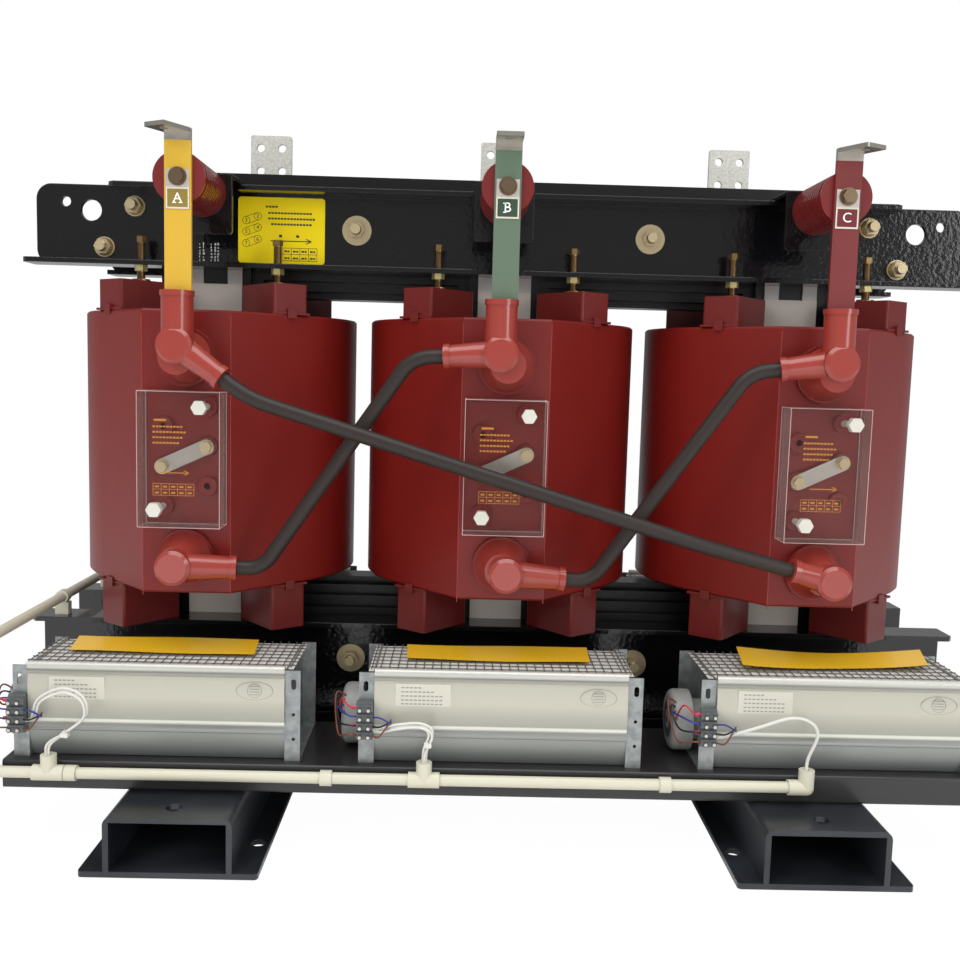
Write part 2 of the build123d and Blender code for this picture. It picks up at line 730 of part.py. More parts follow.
boss_face = panel_y + tap_boss_h
link_len = hypot(2 * tap_col_x, tap_right_z - tap_left_z)
with BuildPart() as tap_links:
    for x in coil_x:
        a = Vector(-tap_col_x, 0, tap_left_z)
        with BuildSketch(front_plane(boss_face)):
            with Locations(Location((x, (tap_left_z + tap_right_z) / 2), 25.16)):
                SlotCenterToCenter(link_len, link_w)
            with Locations((x - tap_col_x, tap_left_z), (x + tap_col_x, tap_right_z)):
                Circle(tap_stud_r + 0.5, mode=Mode.SUBTRACT)
        extrude(amount=link_t)
save(tap_links, "tap_links")

with BuildPart() as tap_link_bolts:
    spots = [(x + s, z) for x in coil_x for s, z in ((-tap_col_x, tap_left_z), (tap_col_x, tap_right_z))]
    link_face = boss_face + link_t
    with BuildSketch(front_plane(boss_face - 20)):
        with Locations(*spots):
            Circle(tap_stud_r)
    extrude(amount=20 + link_t + 3)
    with BuildSketch(front_plane(link_face)):
        with Locations(*spots):
            Circle(10.5)
    extrude(amount=2)
    with BuildSketch(front_plane(link_face + 2)):
        with Locations(*spots):
            RegularPolygon(9, 6)
    extrude(amount=7)
save(tap_link_bolts, "tap_link_bolts")

with BuildPart() as cover_bolts:
    spots = [
        (x + s, z)
        for x in coil_x
        for s, z in ((tap_col_x, tap_right_z + tap_pitch), (-tap_col_x, tap_left_z - tap_pitch))
    ]
    cover_face = panel_y + cover_d
    with BuildSketch(front_plane(boss_face - 16)):
        with Locations(*spots):
            Circle(tap_stud_r)
    extrude(amount=cover_face - boss_face + 16)
    with BuildSketch(front_plane(cover_face)):
        with Locations(*spots):
            RegularPolygon(11.5, 6)
    extrude(amount=13)
save(cover_bolts, "cover_bolts")

# ---- low voltage bars out of the coil top, up behind the upper clamp
with BuildPart() as lv_bars:
    for x_coil, x in zip(coil_x, lv_x):
        with Locations((x_coil, lv_foot_y + lv_t / 2, (coil_top + lv_run_z + lv_t) / 2)):
            Box(lv_neck_w, lv_t, lv_run_z + lv_t - coil_top)
        with Locations((x, (lv_foot_y + lv_y) / 2, lv_run_z + lv_t / 2)):
            Box(lv_w, lv_y - lv_foot_y, lv_t)
        with BuildSketch(front_plane(-lv_y)) as riser:
            with Locations((x, (lv_run_z + lv_top) / 2)):
                Rectangle(lv_w, lv_top - lv_run_z)
            fillet(riser.vertices().group_by(Axis.Z)[-1], 4)
            with Locations((x, lv_top - lv_hole_top - lv_hole_dz / 2)):
                with GridLocations(lv_hole_dx, lv_hole_dz, 2, 2):
                    Circle(lv_hole_r, mode=Mode.SUBTRACT)
        extrude(amount=lv_t)
save(lv_bars, "lv_bars")

with BuildPart() as lv_supports:
    for x in lv_x:
        with Locations((x, (web_face + 302) / 2, upper_web_z[1] + 3)):
            Box(60, 302 - web_face, 6)
        with Locations((x, 299, upper_web_z[1] - 16)):
            Box(60, 6, 38)
save(lv_supports, "lv_supports")

with BuildPart() as lv_support_blocks:
    with Locations(*[(x, (302 + lv_y - lv_t) / 2, upper_web_z[1] - 14) for x in lv_x]):
        Box(44, lv_y - lv_t - 302, 34)
save(lv_support_blocks, "lv_support_blocks")

# ---- feet: base plate with an open box section on top
for label, x in (("foot_left", -foot_x), ("foot_right", foot_x)):
    with BuildPart() as foot_part:
        with BuildSketch(Plane.XY) as base:
            with Locations((x, 0)):
                Rectangle(foot_plate_w, foot_len)
            fillet(base.vertices(), 6)
            for s in (-1, 1):
                for t in (-1, 1):
                    with Locations((x + s * foot_plate_hole_x, t * (foot_hole_y - 60))):
                        Circle(foot_hole_r, mode=Mode.SUBTRACT)
        extrude(amount=foot_plate_t)
        with BuildSketch(front_plane(foot_len / 2)) as box_sk:
            with Locations((x, foot_top / 2)):
                Rectangle(foot_box_w, foot_top)
            fillet(box_sk.vertices().group_by(Axis.Z)[-1], 12)
            with Locations((x, (foot_plate_t + foot_top - foot_wall) / 2)):
                Rectangle(foot_box_w - 2 * foot_wall, foot_top - foot_wall - foot_plate_t, mode=Mode.SUBTRACT)
        extrude(amount=-foot_len)
        with BuildSketch(Plane.XY.offset(foot_top + 1)):
            with Locations((x, -foot_hole_y), (x, foot_hole_y)):
                Circle(foot_hole_r)
        extrude(amount=-foot_wall - 2, mode=Mode.SUBTRACT)
    save(foot_part, label)

# ---- fan shelf: shallow channel laid across the feet, lips turned down
with BuildPart() as shelf_one:
    with BuildSketch(Plane(origin=(-shelf_half, 0, 0), x_dir=(0, 1, 0), z_dir=(1, 0, 0))) as lip_sk:
        with Locations((-(shelf_front + shelf_back) / 2, (foot_top + shelf_top) / 2)):
            Rectangle(shelf_front - shelf_back, shelf_top - foot_top)
        fillet(lip_sk.vertices().group_by(Axis.Z)[-1], 4)
        with Locations((-(shelf_front + shelf_back) / 2, (foot_top + shelf_top - shelf_t) / 2)):
            Rectangle(shelf_front - shelf_back - 2 * shelf_t, shelf_top - foot_top - shelf_t, mode=Mode.SUBTRACT)
    extrude(amount=2 * shelf_half)
save(shelf_one, "fan_shelf_front")

with BuildPart() as shelf_two:
    mirror(shelf_one.part, about=Plane.XZ)
save(shelf_two, "fan_shelf_rear")

# ---- one fan, then copies on both shelves (drawn at the left end of its own X = 0)
case_half = fan_half - fan_bracket_w
with BuildPart(mode=Mode.PRIVATE) as case_one:
    with BuildSketch(Plane(origin=(-case_half, 0, 0), x_dir=(0, 1, 0), z_dir=(1, 0, 0))):
        with BuildLine():
            top_front = (-(fan_front - 2), fan_top - 6)
            rail = (-(fan_front - 2), fan_top - 22)
            groove = (-(fan_front - 6), fan_top - 26)
            l1 = Line(top_front, rail)
            l2 = Line(rail, groove)
            a1 = ThreePointArc(groove, (-(fan_front + 3), case_swell_z), (-(fan_front - 4), bead_z - 4))
            a2 = ThreePointArc(a1 @ 1, (-(fan_front - 13), shelf_top + 16), (-(fan_front - 34), shelf_top))
            l3 = Line(a2 @ 1, (-fan_back, shelf_top))
            l4 = Line(l3 @ 1, (-fan_back, fan_top - 6))
            l5 = Line(l4 @ 1, (-fan_back - fan_skin, fan_top - 6))
            l6 = Line(l5 @ 1, (-fan_back - fan_skin, shelf_top + fan_skin))
            l7 = Line(l6 @ 1, (-(fan_front - 35), shelf_top + fan_skin))
            a3 = ThreePointArc(l7 @ 1, (-(fan_front - 15), shelf_top + 18), (-(fan_front - 6), bead_z - 4))
            a4 = ThreePointArc(a3 @ 1, (-(fan_front + 1), case_swell_z), (-(fan_front - 8), fan_top - 27))
            l8 = Line(a4 @ 1, (-(fan_front - 8), fan_top - 26))
            l9 = Line(l8 @ 1, (-(fan_front - 8), fan_top - 6))
            l10 = Line(l9 @ 1, top_front)
        make_face()
    extrude(amount=2 * case_half)
    with BuildSketch(Plane(origin=(-case_half, 0, 0), x_dir=(0, 1, 0), z_dir=(1, 0, 0))):
        with Locations((-(fan_front - 2), fan_top - rail_r)):
            Circle(rail_r)
        with Locations((-(fan_front - 2), bead_z)):
            Circle(3.0)
    extrude(amount=2 * case_half)

with BuildPart(mode=Mode.PRIVATE) as ends_one:
    for s in (-1, 1):
        deep = fan_front - fan_back
        mid_y = -(fan_front + fan_back) / 2
        with Locations((s * (case_half + fan_bracket_t / 2), mid_y, (shelf_top + fan_top) / 2)):
            Box(fan_bracket_t, deep, fan_top - shelf_top)
        with BuildSketch(front_plane(fan_front)):
            with Locations((s * (case_half + fan_bracket_w / 2), (shelf_top + fan_top) / 2)):
                Rectangle(fan_bracket_w, fan_top - shelf_top)
            with Locations((s * (case_half + fan_bracket_w / 2 + 1.5), fan_top - 20)):
                SlotCenterToCenter(8, 7, rotation=90, mode=Mode.SUBTRACT)
            if s > 0:
                with Locations(*[(case_half + fan_bracket_w / 2 + 1.5, fan_top - d) for d in (64, 100)]):
                    Circle(2.5, mode=Mode.SUBTRACT)
        extrude(amount=-fan_bracket_t)
        with Locations((s * (case_half + fan_bracket_w / 2), -fan_back - fan_bracket_t / 2, (shelf_top + fan_top) / 2)):
            Box(fan_bracket_w, fan_bracket_t, fan_top - shelf_top)
        with Locations((s * (case_half + fan_bracket_w / 2), mid_y, shelf_top + fan_bracket_t / 2)):
            Box(fan_bracket_w, deep, fan_bracket_t)
        with BuildSketch(Plane(origin=(s * (case_half - bush_len), -fan_axis_y, fan_axis_z), z_dir=(s, 0, 0))):
            Circle(bush_r)
        extrude(amount=bush_len)
    with BuildSketch(Plane(origin=(-fan_half, -fan_axis_y, fan_axis_z), z_dir=(1, 0, 0))):
        Circle(journal_r + journal_fit)
    extrude(amount=2 * fan_half, mode=Mode.SUBTRACT)

grille_front = fan_front - 9
grille_deep = grille_front - fan_back - fan_skin
grille_y = -(grille_front + fan_back + fan_skin) / 2
with BuildPart(mode=Mode.PRIVATE) as grille_one:
    with BuildSketch(Plane.XY.offset(fan_top - 6)):
        with Locations((0, grille_y)):
            Rectangle(2 * case_half, grille_deep)
            Rectangle(2 * case_half - 12, grille_deep - 10, mode=Mode.SUBTRACT)
        with Locations(*[(k * 87.0, grille_y) for k in (-1, 0, 1)]):
            Rectangle(3.0, grille_deep - 10)
        with Locations(*[(0, grille_y + k * 46.0) for k in (-1, 1)]):
            Rectangle(2 * case_half - 12, 3.0)
    extrude(amount=2.5)

with BuildPart(mode=Mode.PRIVATE) as motor_one:
    with BuildSketch(Plane(origin=(-fan_half, -fan_axis_y, fan_axis_z), z_dir=(-1, 0, 0))):
        Circle(motor_r)
    extrude(amount=motor_len)
    fillet(motor_one.faces().sort_by(Axis.X)[0].edges(), 10)
    with BuildSketch(Plane(origin=(-case_half - fan_bracket_t, -fan_axis_y, fan_axis_z), z_dir=(-1, 0, 0))):
        Circle(motor_r - 14)
    extrude(amount=fan_bracket_w - fan_bracket_t)

with BuildPart(mode=Mode.PRIVATE) as block_one:
    with Locations((block_x, -(fan_front + 6), block_z)):
        Box(block_wide, 12, block_tall)
    with Locations(*[(block_x, -(fan_front + 14), block_z + k * 13) for k in (-1.5, -0.5, 0.5, 1.5)]):
        Box(block_wide, 5, 9)

with BuildPart(mode=Mode.PRIVATE) as rotor_one:
    rotor_plane = Plane(origin=(0, -fan_axis_y, fan_axis_z), x_dir=(0, 1, 0), z_dir=(1, 0, 0))
    for x0 in (-fan_rotor_half, -2.0, fan_rotor_half - 4.0):
        with BuildSketch(rotor_plane.offset(x0)):
            Circle(fan_rotor_r)
        extrude(amount=4)
    with BuildSketch(rotor_plane.offset(-journal_end)):
        Circle(journal_r)
    extrude(amount=2 * journal_end)
    with BuildSketch(rotor_plane.offset(-fan_rotor_half)):
        with PolarLocations(fan_rotor_r - 4, fan_blades):
            Rectangle(7, 1.6, rotation=35)
    extrude(amount=2 * fan_rotor_half)


def on_shelves(shape):
    """Copies of a fan piece: three on the front shelf, three turned round on the rear shelf."""
    pieces = []
    for x in fan_x:
        pieces.append(Pos(x, 0, 0) * shape)
        pieces.append(Pos(-x, 0, 0) * Rot(0, 0, 180) * shape)
    return pieces


for shape, label in (
    (case_one.part, "fan_casings"),
    (ends_one.part, "fan_end_brackets"),
    (grille_one.part, "fan_grilles"),
    (motor_one.part, "fan_motors"),
    (block_one.part, "fan_terminal_blocks"),
):
    with BuildPart() as group:
        for piece in on_shelves(shape):
            add(piece)
    save(group, label)

for i, piece in enumerate(on_shelves(rotor_one.part)):
    with BuildPart() as rotor:
        add(piece)
    save(rotor, "fan_rotor_" + str(i + 1))

# ---- conduit: straight pipes, elbows and tees on the shelf faces and over the left end
with BuildPart() as conduit_pipes:
    for t, tees, elbow_x, clips in pipe_runs:
        run0 = pipe_left_x + 14
        run1 = elbow_x - 14
        with BuildSketch(Plane(origin=(run0, t * pipe_y, pipe_z), z_dir=(1, 0, 0))):
            Circle(pipe_r)
        extrude(amount=run1 - run0)
        with BuildSketch(Plane(origin=(pipe_left_x, t * pipe_y, pipe_z + 14))):
            Circle(pipe_r)
        extrude(amount=pipe_high_z - pipe_z - 28)
    with BuildSketch(Plane(origin=(pipe_left_x, -pipe_y + 14, pipe_high_z), z_dir=(0, 1, 0))):
        Circle(pipe_r)
    extrude(amount=2 * pipe_y - 28)
save(conduit_pipes, "conduit_pipes")


with BuildPart() as conduit_fittings:
    bores = []
    for t, tees, elbow_x, clips in pipe_runs:
        corners = (
            ((pipe_left_x, t * pipe_y, pipe_z), (1, 0, 0), (0, 0, 1), pipe_r + pipe_fit),
            ((pipe_left_x, t * pipe_y, pipe_high_z), (0, 0, -1), (0, -t, 0), pipe_r + pipe_fit),
            ((elbow_x, t * pipe_y, pipe_z), (-1, 0, 0), (0, 0, 1), lead_r + lead_fit),
        )
        for corner, way_a, way_b, bore_b in corners:
            with Locations(corner):
                Sphere(fitting_r)
            for way, bore in ((way_a, pipe_r + pipe_fit), (way_b, bore_b)):
                with BuildSketch(Plane(origin=corner, z_dir=way)):
                    Circle(fitting_r)
                extrude(amount=tee_neck)
                bores.append((Plane(origin=corner, z_dir=way).offset(tee_neck - lead_seat), lead_seat + 2, bore))
        for x in tees:
            end_plane = Plane(origin=(x - tee_half, t * pipe_y, pipe_z), z_dir=(1, 0, 0))
            up_plane = Plane(origin=(x, t * pipe_y, pipe_z))
            with BuildSketch(end_plane):
                Circle(fitting_r)
            extrude(amount=2 * tee_half)
            with BuildSketch(up_plane):
                Circle(fitting_r)
            extrude(amount=tee_neck)
            bores.append((end_plane.offset(-1), 2 * tee_half + 2, pipe_r + pipe_fit))
            bores.append((up_plane.offset(tee_neck - lead_seat), lead_seat + 2, lead_r + lead_fit))
    for bore_plane, bore_len, bore in bores:
        with BuildSketch(bore_plane):
            Circle(bore)
        extrude(amount=bore_len, mode=Mode.SUBTRACT)
save(conduit_fittings, "conduit_fittings")

with BuildPart() as conduit_clips:
    for t, tees, elbow_x, clips in pipe_runs:
        for x in clips:
            with BuildSketch(Plane(origin=(x - 8, t * pipe_y, pipe_z), z_dir=(1, 0, 0))):
                Circle(pipe_r + 3)
                Circle(pipe_r + pipe_fit, mode=Mode.SUBTRACT)
            extrude(amount=16)
    for t in (-1, 1):
        clip_y = t * (web_face + 26)
        with BuildSketch(Plane(origin=(pipe_left_x, clip_y - 8, pipe_high_z), z_dir=(0, 1, 0))):
            Circle(pipe_r + 3)
            Circle(pipe_r + pipe_fit, mode=Mode.SUBTRACT)
        extrude(amount=16)
        with Locations((pipe_left_x, clip_y, (lower_web_z[1] + pipe_high_z - pipe_r - 1) / 2)):
            Box(22, 16, pipe_high_z - pipe_r - 1 - lower_web_z[1])
save(conduit_clips, "conduit_clips")

# ---- sheathed leads from the conduit up to each terminal block, plugged in at both ends
lead_y = -pipe_y
lead_z0 = pipe_z + tee_neck - lead_seat
block_side_y = -(fan_front + 7)
block_faces = [x + block_x + block_wide / 2 for x in fan_x]
lead_paths = (
    (
        (-629.0, lead_y, lead_z0),
        (-629.0, lead_y, 152.0),
        (-574.0, lead_y - 8, 192.0),
        (-582.0, lead_y - 8, 226.0),
        (-636.0, lead_y + 4, 222.0),
        (block_faces[0] + 24, block_side_y, 180.0),
        (block_faces[0], block_side_y, 180.0),
    ),
    (
        (-106.0, lead_y, lead_z0),
        (-106.0, lead_y, 152.0),
        (-98.0, lead_y - 4, 184.0),
        (-140.0, lead_y + 4, 188.0),
        (block_faces[1] + 24, block_side_y, 176.0),
        (block_faces[1], block_side_y, 176.0),
    ),
    (
        (434.0, lead_y, lead_z0),
        (434.0, lead_y, 152.0),
        (447.0, lead_y - 8, 196.0),
        (408.0, lead_y - 8, 214.0),
        (360.0, lead_y + 2, 198.0),
        (block_faces[2] + 24, block_side_y, 176.0),
        (block_faces[2], block_side_y, 176.0),
    ),
)
with BuildPart() as fan_leads:
    for path in lead_paths:
        radii = bend_radii(path)
        with BuildPart(mode=Mode.PRIVATE) as one_lead:
            with BuildLine() as lead_route:
                FilletPolyline(*path, radius=radii)
            lead_spine = lead_route.wires()[0]
            with BuildSketch(Plane(origin=lead_spine @ 0, z_dir=lead_spine % 0)):
                Circle(lead_r)
            sweep(path=lead_spine)
        length = lead_spine.length
        print("fan lead radii", [round(r) for r in radii], "length", round(length))
        print("volume over section x length", round(one_lead.part.volume / (3.14159265 * lead_r**2 * length), 4))
        add(one_lead.part)
        add(Rot(0, 0, 180) * one_lead.part)
save(fan_leads, "fan_leads")
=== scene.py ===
import math
import random

import bmesh
import bpy
from mathutils import Matrix, Vector


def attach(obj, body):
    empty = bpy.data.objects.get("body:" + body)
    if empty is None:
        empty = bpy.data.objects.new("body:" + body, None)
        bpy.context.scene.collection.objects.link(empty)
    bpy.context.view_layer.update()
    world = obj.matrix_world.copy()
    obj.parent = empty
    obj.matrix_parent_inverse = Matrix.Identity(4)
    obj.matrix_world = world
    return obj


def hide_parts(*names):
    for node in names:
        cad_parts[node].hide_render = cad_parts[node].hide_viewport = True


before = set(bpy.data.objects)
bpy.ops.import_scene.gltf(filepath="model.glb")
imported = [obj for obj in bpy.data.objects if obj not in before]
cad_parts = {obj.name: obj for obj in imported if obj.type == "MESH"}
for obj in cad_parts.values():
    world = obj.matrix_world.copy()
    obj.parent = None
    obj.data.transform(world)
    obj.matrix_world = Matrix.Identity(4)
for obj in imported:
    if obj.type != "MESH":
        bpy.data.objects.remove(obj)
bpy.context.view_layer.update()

# ---------------------------------------------------------------- core
# Three limbs and two yokes of stacked electrical steel, stepped in section, with bolt holes in the yokes.
# The stack is brushed with a thin black paint, which leaves a slightly uneven surface.


def painted(name, color, rough, metal=0.0, coat=0.0, coat_rough=0.1, spec=0.5):
    """A plain finish: one colour and one gloss all over."""
    material = bpy.data.materials.new(name)
    material.use_nodes = True
    skin = material.node_tree.nodes["Principled BSDF"]
    skin.inputs["Base Color"].default_value = (*color, 1.0)
    skin.inputs["Roughness"].default_value = rough
    skin.inputs["Metallic"].default_value = metal
    skin.inputs["Coat Weight"].default_value = coat
    skin.inputs["Coat Roughness"].default_value = coat_rough
    skin.inputs["Specular IOR Level"].default_value = spec
    return material


def effect(name, inputs, output, output_kind):
    """An empty shader node group with named inputs and one output, and its two end nodes."""
    group = bpy.data.node_groups.new(name, "ShaderNodeTree")
    for title, kind in inputs:
        group.interface.new_socket(name=title, in_out="INPUT", socket_type=kind)
    group.interface.new_socket(name=output, in_out="OUTPUT", socket_type=output_kind)
    return group, group.nodes.new("NodeGroupInput"), group.nodes.new("NodeGroupOutput")


def placed(material, group, **values):
    """Places an effect in a material with its own values."""
    node = material.node_tree.nodes.new("ShaderNodeGroup")
    node.node_tree = group
    for title, value in values.items():
        node.inputs[title].default_value = value
    return node


NUMBER, COLOUR, DIRECTION = "NodeSocketFloat", "NodeSocketColor", "NodeSocketVector"


def noise_in(group, came):
    """Noise in object coordinates, sized by the group's own Scale and Detail."""
    coord = group.nodes.new("ShaderNodeTexCoord")
    noise = group.nodes.new("ShaderNodeTexNoise")
    group.links.new(coord.outputs["Object"], noise.inputs["Vector"])
    group.links.new(came.outputs["Scale"], noise.inputs["Scale"])
    group.links.new(came.outputs["Detail"], noise.inputs["Detail"])
    return noise


surface_waves, came, gone = effect("surface_waves", (("Scale", NUMBER), ("Detail", NUMBER)), "Height", NUMBER)
surface_waves.links.new(noise_in(surface_waves, came).outputs["Fac"], gone.inputs["Height"])


def wavy(material, scale, depth, detail=2.0):
    """Gives a finish the slow unevenness of its paint or cast skin, with its depth in metres."""
    tree = material.node_tree
    bump = tree.nodes.new("ShaderNodeBump")
    bump.inputs["Strength"].default_value = 1.0
    bump.inputs["Distance"].default_value = depth
    waves = placed(material, surface_waves, Scale=scale, Detail=detail)
    tree.links.new(waves.outputs["Height"], bump.inputs["Height"])
    tree.links.new(bump.outputs["Normal"], tree.nodes["Principled BSDF"].inputs["Normal"])
    return material


def dress(material, *names):
    """Gives CAD nodes their finish."""
    for name in names:
        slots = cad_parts[name].data.materials
        slots.clear()
        slots.append(material)


core_paint = wavy(painted("core_black", (0.004, 0.0035, 0.004), 0.34), 60.0, 0.0004, 3.0)
dress(core_paint, "core_limbs", "upper_yoke", "lower_yoke")

# ---------------------------------------------------------------- core clamps and their plates
# Pressed steel channels squeeze the yokes from both sides, with lifting holes at their ends.
# They and the small brackets on them carry a thick gloss black paint with soft, rounded edges.

soft_edge, came, gone = effect("soft_edge", (("Radius", NUMBER),), "Normal", DIRECTION)
rounding = soft_edge.nodes.new("ShaderNodeBevel")
rounding.samples = 4
soft_edge.links.new(came.outputs["Radius"], rounding.inputs["Radius"])
soft_edge.links.new(rounding.outputs["Normal"], gone.inputs["Normal"])


def softened(material, radius):
    """Rounds the edges of a wavy finish in the shading only, so that they catch a thin highlight."""
    tree = material.node_tree
    bump = next(n for n in tree.nodes if n.bl_idname == "ShaderNodeBump")
    edge = placed(material, soft_edge, Radius=radius)
    tree.links.new(edge.outputs["Normal"], bump.inputs["Normal"])
    return material


clamp_black = (0.0036, 0.0032, 0.0040)
clamp_paint = painted("clamp_gloss_black", clamp_black, 0.14, coat=0.4, coat_rough=0.05, spec=0.45)
softened(wavy(clamp_paint, 130.0, 0.0008, 3.0), 0.003)
dress(clamp_paint, "upper_clamp_front", "upper_clamp_rear", "lower_clamp_front", "lower_clamp_rear")

# Flat steel strips run up beside the limbs and tie the upper clamps to the lower ones.
dress(painted("strip_grey", (0.42, 0.40, 0.38), 0.5, metal=0.3), "pull_plates")

# ---------------------------------------------------------------- clamp bolts
# Long zinc plated bolts cross the core from clamp to clamp, with flat washers, spring washers and nuts.
# Their cut threads stand out past the nuts, and the passivated zinc is a dull gold.

MM = 0.001


def rod_in(bm, start, end, r0, r1=None, sides=24, slot=0):
    """Round rod or cone between two points, in millimetres, closed at both ends."""
    a = Vector(start) * MM
    b = Vector(end) * MM
    way = (b - a).normalized()
    side = way.orthogonal().normalized()
    over = way.cross(side)
    rings = []
    for point, r in ((a, r0), (b, r0 if r1 is None else r1)):
        rings.append([])
        for k in range(sides):
            t = 2 * math.pi * k / sides
            rings[-1].append(bm.verts.new(point + (side * math.cos(t) + over * math.sin(t)) * r * MM))
    for k in range(sides):
        n = (k + 1) % sides
        bm.faces.new((rings[0][k], rings[0][n], rings[1][n], rings[1][k])).material_index = slot
    bm.faces.new(rings[0][::-1]).material_index = slot
    bm.faces.new(rings[1]).material_index = slot


def repeat_group():
    """Geometry nodes that set one item on every point of a mesh and give it a finish."""
    g = bpy.data.node_groups.new("set_on_points", "GeometryNodeTree")
    g.interface.new_socket(name="Points", in_out="INPUT", socket_type="NodeSocketGeometry")
    g.interface.new_socket(name="Item", in_out="INPUT", socket_type="NodeSocketObject")
    g.interface.new_socket(name="Finish", in_out="INPUT", socket_type="NodeSocketMaterial")
    g.interface.new_socket(name="Set", in_out="OUTPUT", socket_type="NodeSocketGeometry")
    came = g.nodes.new("NodeGroupInput")
    gone = g.nodes.new("NodeGroupOutput")
    info = g.nodes.new("GeometryNodeObjectInfo")
    put = g.nodes.new("GeometryNodeInstanceOnPoints")
    real = g.nodes.new("GeometryNodeRealizeInstances")
    finish = g.nodes.new("GeometryNodeSetMaterial")
    g.links.new(came.outputs["Points"], put.inputs["Points"])
    g.links.new(came.outputs["Item"], info.inputs["Object"])
    g.links.new(info.outputs["Geometry"], put.inputs["Instance"])
    g.links.new(put.outputs["Instances"], real.inputs["Geometry"])
    g.links.new(real.outputs["Geometry"], finish.inputs["Geometry"])
    g.links.new(came.outputs["Finish"], finish.inputs["Material"])
    g.links.new(finish.outputs["Geometry"], gone.inputs["Set"])
    return g


set_on_points = repeat_group()


def linked(name, mesh):
    """An object for a mesh, at the origin."""
    o = bpy.data.objects.new(name, mesh)
    bpy.context.collection.objects.link(o)
    return o


def flattened(o):
    """The evaluated object as a plain mesh; the object itself is removed."""
    bpy.context.view_layer.update()
    mesh = bpy.data.meshes.new_from_object(o.evaluated_get(bpy.context.evaluated_depsgraph_get()))
    bpy.data.objects.remove(o)
    return mesh


def repeated(name, item_bm, spots, finish):
    """The item, built round the origin, at every spot in millimetres, as one plain mesh."""
    item_mesh = bpy.data.meshes.new("item")
    item_bm.to_mesh(item_mesh)
    item_bm.free()
    item = linked("item", item_mesh)
    cloud = bpy.data.meshes.new("spots")
    cloud.from_pydata([tuple(c * MM for c in s) for s in spots], [], [])
    holder = linked("spots", cloud)
    mod = holder.modifiers.new("set", "NODES")
    mod.node_group = set_on_points
    given = {"Item": item, "Finish": finish}
    for socket in set_on_points.interface.items_tree:
        if socket.item_type == "SOCKET" and socket.name in given:
            mod[socket.identifier] = given[socket.name]
    mesh = flattened(holder)
    bpy.data.objects.remove(item)
    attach(linked(name, mesh), "frame")


zinc = painted("zinc_bolt", (0.58, 0.48, 0.29), 0.3, metal=0.55)
zinc_bronze = painted("zinc_bronze", (0.33, 0.235, 0.150), 0.34, metal=1.0)
zinc_yellow = painted("zinc_yellow", (0.36, 0.24, 0.115), 0.36, metal=1.0)
dress(zinc, "clamp_bolts")

thread_root, thread_crest, half_turn = 7.4, 8.5, 0.9
thread_start, thread_pitch, threads_shown = 102.2, 1.9, 6
bolt_shift = -4
bolts_half = ((242, 909), (605, 938), (655, 871), (242, 190), (650, 190))
clamp_spots = [(side * x + bolt_shift, z) for x, z in bolts_half for side in (-1, 1)]

crest = bmesh.new()
rod_in(crest, (0, -half_turn, 0), (0, 0, 0), thread_root, thread_crest)
rod_in(crest, (0, 0, 0), (0, half_turn, 0), thread_crest, thread_root)
stub_spots = [
    (x, t * (thread_start + thread_pitch * k), z)
    for x, z in clamp_spots
    for t in (-1, 1)
    for k in range(threads_shown)
]
repeated("clamp_bolt_threads", crest, stub_spots, zinc_bronze)

# Spring washers show only on the outer bolts, which have no broad washer over them.
spring_r, spring_thick, spring_y, outer_from = 14.6, 2, -86.5, 400
spring = bmesh.new()
rod_in(spring, (0, -spring_thick, 0), (0, 0, 0), spring_r)
outer_spots = [(x, spring_y, z) for x, z in clamp_spots if abs(x) > outer_from]
repeated("clamp_spring_washers", spring, outer_spots, zinc_yellow)

# ---------------------------------------------------------------- low voltage windings
# Foil coils round the limbs, wrapped in resin paper, with stiff grey sheets between limb and foil.
# They stand inside the high voltage coils, so only their ends show.

dress(painted("sheet_grey", (0.46, 0.42, 0.38), 0.35), "limb_sheets")
dress(painted("lv_wrap", (0.30, 0.19, 0.09), 0.6), "lv_coils")

# ---------------------------------------------------------------- high voltage coils
# Each winding is cast in red resin, in a mould that also gives the flat terminal panel and leaves a fine
# raised seam down both sides of it. The seams are drawn in a lighter red, a painted highlight along the panel
# edges. The same two lines are repeated behind, clear of the round back.

resin = painted("cast_resin", (0.160, 0.0080, 0.0056), 0.42, coat=0.12, coat_rough=0.30, spec=0.38)
softened(wavy(resin, 9.0, 0.0014, 3.0), 0.002)
dress(resin, "hv_coil_a", "hv_coil_b", "hv_coil_c")


def made(name, bm, *finishes):
    """One piece on the frame, its place in its mesh."""
    mesh = bpy.data.meshes.new(name)
    bm.to_mesh(mesh)
    bm.free()
    for finish in finishes:
        mesh.materials.append(finish)
    o = linked(name, mesh)
    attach(o, "frame")
    return o


coil_mids = (-480, 0, 480)
seam_out, seam_y, seam_r, seam_ends = 66.4, -261.8, 0.7, (331, 757)
bm = bmesh.new()
for c in coil_mids:
    for t in (1, -1):
        for x in (c - seam_out, c + seam_out):
            rod_in(bm, (x, t * seam_y, seam_ends[0]), (x, t * seam_y, seam_ends[1]), seam_r, sides=6)
# The lighter red of the seams is a painted highlight on the panel edges.
made("mould_seams", bm, painted("resin_seam_highlight", (0.30, 0.045, 0.036), 0.4))

# ---------------------------------------------------------------- spacer blocks and jack bolts
# Cast resin blocks carry the coils from the lower clamps and press on them from the upper ones.
# Each upper block is set by a jack bolt with a lock nut, in the yellower zinc of small fasteners.

block_resin = painted("block_resin", (0.125, 0.0105, 0.0090), 0.40, coat=0.12, spec=0.4)
softened(wavy(block_resin, 30.0, 0.0003), 0.0015)
dress(block_resin, "upper_spacer_blocks", "lower_spacer_blocks")
dress(zinc_yellow, "jack_bolts")
dress(painted("zinc_pale", (0.66, 0.58, 0.26), 0.36, metal=0.7), "jack_lock_nuts")

